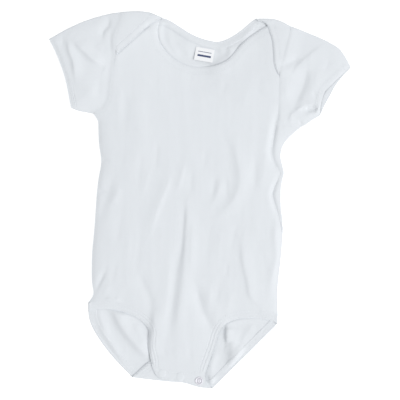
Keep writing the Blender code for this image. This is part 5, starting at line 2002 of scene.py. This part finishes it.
@dataclass
class Popper:
    """One popper: a ring of metal with a sunk middle, or a plain lacquered cap."""

    name: str
    place: Pair
    look: PopperLook
    radius: float = 4.4
    base: float = 0.55
    sides: int = 40
    press: float = 4.0  # how far out the cloth's height is felt for
    recess: Pair = (2.75, 0.75)  # the shadowed middle's radius and top
    rounding: float = 0.12

    def build(self) -> None:
        """Turns the popper from a disc by insets and extrusions, and rounds its rims."""
        bpy.ops.object.select_all(action="DESELECT")
        bpy.ops.mesh.primitive_cylinder_add(
            vertices=self.sides, radius=self.radius * MM, depth=self.base * MM,
            location=(0, 0, self.base / 2 * MM))
        obj = bpy.context.object
        obj.name = obj.data.name = "popper_" + self.look.value + "_" + self.name
        bpy.ops.object.transform_apply(location=True, rotation=True, scale=True)
        bpy.ops.object.mode_set(mode="EDIT")
        work = bmesh.from_edit_mesh(obj.data)
        for face in work.faces:
            face.select_set(face.normal.z > 0.5)
        bmesh.update_edit_mesh(obj.data)
        for inset, rise in POPPER_STEPS[self.look]:
            bpy.ops.mesh.inset(thickness=inset * MM, depth=0)
            bpy.ops.transform.translate(value=(0, 0, rise * MM))
        bpy.ops.mesh.select_all(action="SELECT")
        bpy.ops.mesh.normals_make_consistent(inside=False)
        bpy.ops.object.mode_set(mode="OBJECT")
        self.dress(obj)
        spot = np.array([self.place])
        ways = (-self.press, 0, self.press)
        around = spot + [[dx, dy] for dx in ways for dy in ways]
        height = on_front(around).mean() - POPPER_SINK[self.look]
        obj.data.transform(Matrix.Translation(Vector((*self.place, height)) * MM))
        own(obj, "popper", "popper_" + self.name)

    def dress(self, obj: bpy.types.Object) -> None:
        """Gives the popper its finish, with painted shade in a ring's sunk middle, and rounds its
        edges.
        """
        ring = self.look is PopperLook.RING
        obj.data.materials.clear()
        obj.data.materials.append((NICKEL if ring else LACQUER).material())
        if ring:
            # the sunk middle takes the darker finish, painted shade
            obj.data.materials.append(SHADOWED.material())
            for face in obj.data.polygons:
                near = face.center.xy.length < self.recess[0] * MM
                level = 0.1 * MM < face.center.z < self.recess[1] * MM
                face.material_index = int(near and level and face.normal.z > -0.5)
        modify(obj, "BEVEL", width=self.rounding * MM, segments=2, limit_method="ANGLE",
               angle_limit=radians(35))
        bpy.ops.object.shade_smooth_by_angle(angle=radians(40))


# ---- the surroundings ----


@dataclass
class Studio:
    """A pale floor, soft light from the right, and the camera straight above."""

    span: float = 423.2  # what the camera takes in, in millimetres
    lens: float = 120.0
    sensor: float = 36.0
    aim_height: float = 4.0
    floor_size: float = 6.0  # in metres
    floor_gap: float = 0.3
    key: float = 1.5
    key_from: tuple[float, float, float] = (1.0, -0.36, 1.0)
    softness: float = 30.0
    fill: float = 0.74

    def floor(self) -> None:
        """Lays the floor just below the cloth."""
        bpy.ops.object.select_all(action="DESELECT")
        bpy.ops.mesh.primitive_plane_add(size=self.floor_size, location=(0, 0, 0))
        plane = bpy.context.object
        plane.name = "floor"
        plane.data.transform(Matrix.Translation((0, 0, -self.floor_gap * MM)))
        plane.data.materials.append(FloorFinish("pale_floor", (0.80, 0.80, 0.80), 0.9).material())

    def lights(self) -> None:
        """Hangs a large soft light at the right, and fills the rest from all round."""
        lamp = bpy.data.lights.new("key", "SUN")
        lamp.energy = self.key
        lamp.angle = radians(self.softness)
        obj = add_object("key", lamp)
        obj.location = self.key_from
        obj.rotation_euler = (-obj.location).to_track_quat("-Z", "Y").to_euler()
        world = bpy.data.worlds.new("room")
        world.use_nodes = True
        sky = world.node_tree.nodes["Background"]
        sky.inputs["Color"].default_value = (0.97, 0.985, 1.0, 1)
        sky.inputs["Strength"].default_value = self.fill
        bpy.context.scene.world = world
        bpy.context.scene.view_settings.view_transform = "Standard"

    def camera(self) -> None:
        """Puts the camera straight above the middle."""
        data = bpy.data.cameras.new("camera")
        data.lens, data.sensor_width = self.lens, self.sensor
        obj = add_object("camera", data)
        height = self.span * self.lens / self.sensor + self.aim_height
        obj.location = (0, 0, height * MM)
        data.clip_start, data.clip_end = 0.01, 20
        bpy.context.scene.camera = obj

    def build(self) -> None:
        """Sets the scene up."""
        self.camera()
        self.floor()
        self.lights()


RELIEF = Relief()


def main() -> None:
    """Builds the surroundings and every piece."""
    logging.basicConfig(level=logging.INFO, format="%(message)s")
    Studio().build()
    neck = Neck()
    legs = tuple(Leg(side) for side in Side)
    Back(neck, legs).build()
    Front(neck, legs).build()
    for side in Side:
        Sleeve(side).build()
    neck.build()
    for leg in legs:
        leg.build()
    Label().build()
    for name, place, look in (
        ("left", (-40, -183.4), PopperLook.CAP),
        ("middle", (-21, -187), PopperLook.CAP),
        ("right", (-1, -191.2), PopperLook.RING),
    ):
        Popper(name, place, look).build()


if __name__ == "__main__":
    main()
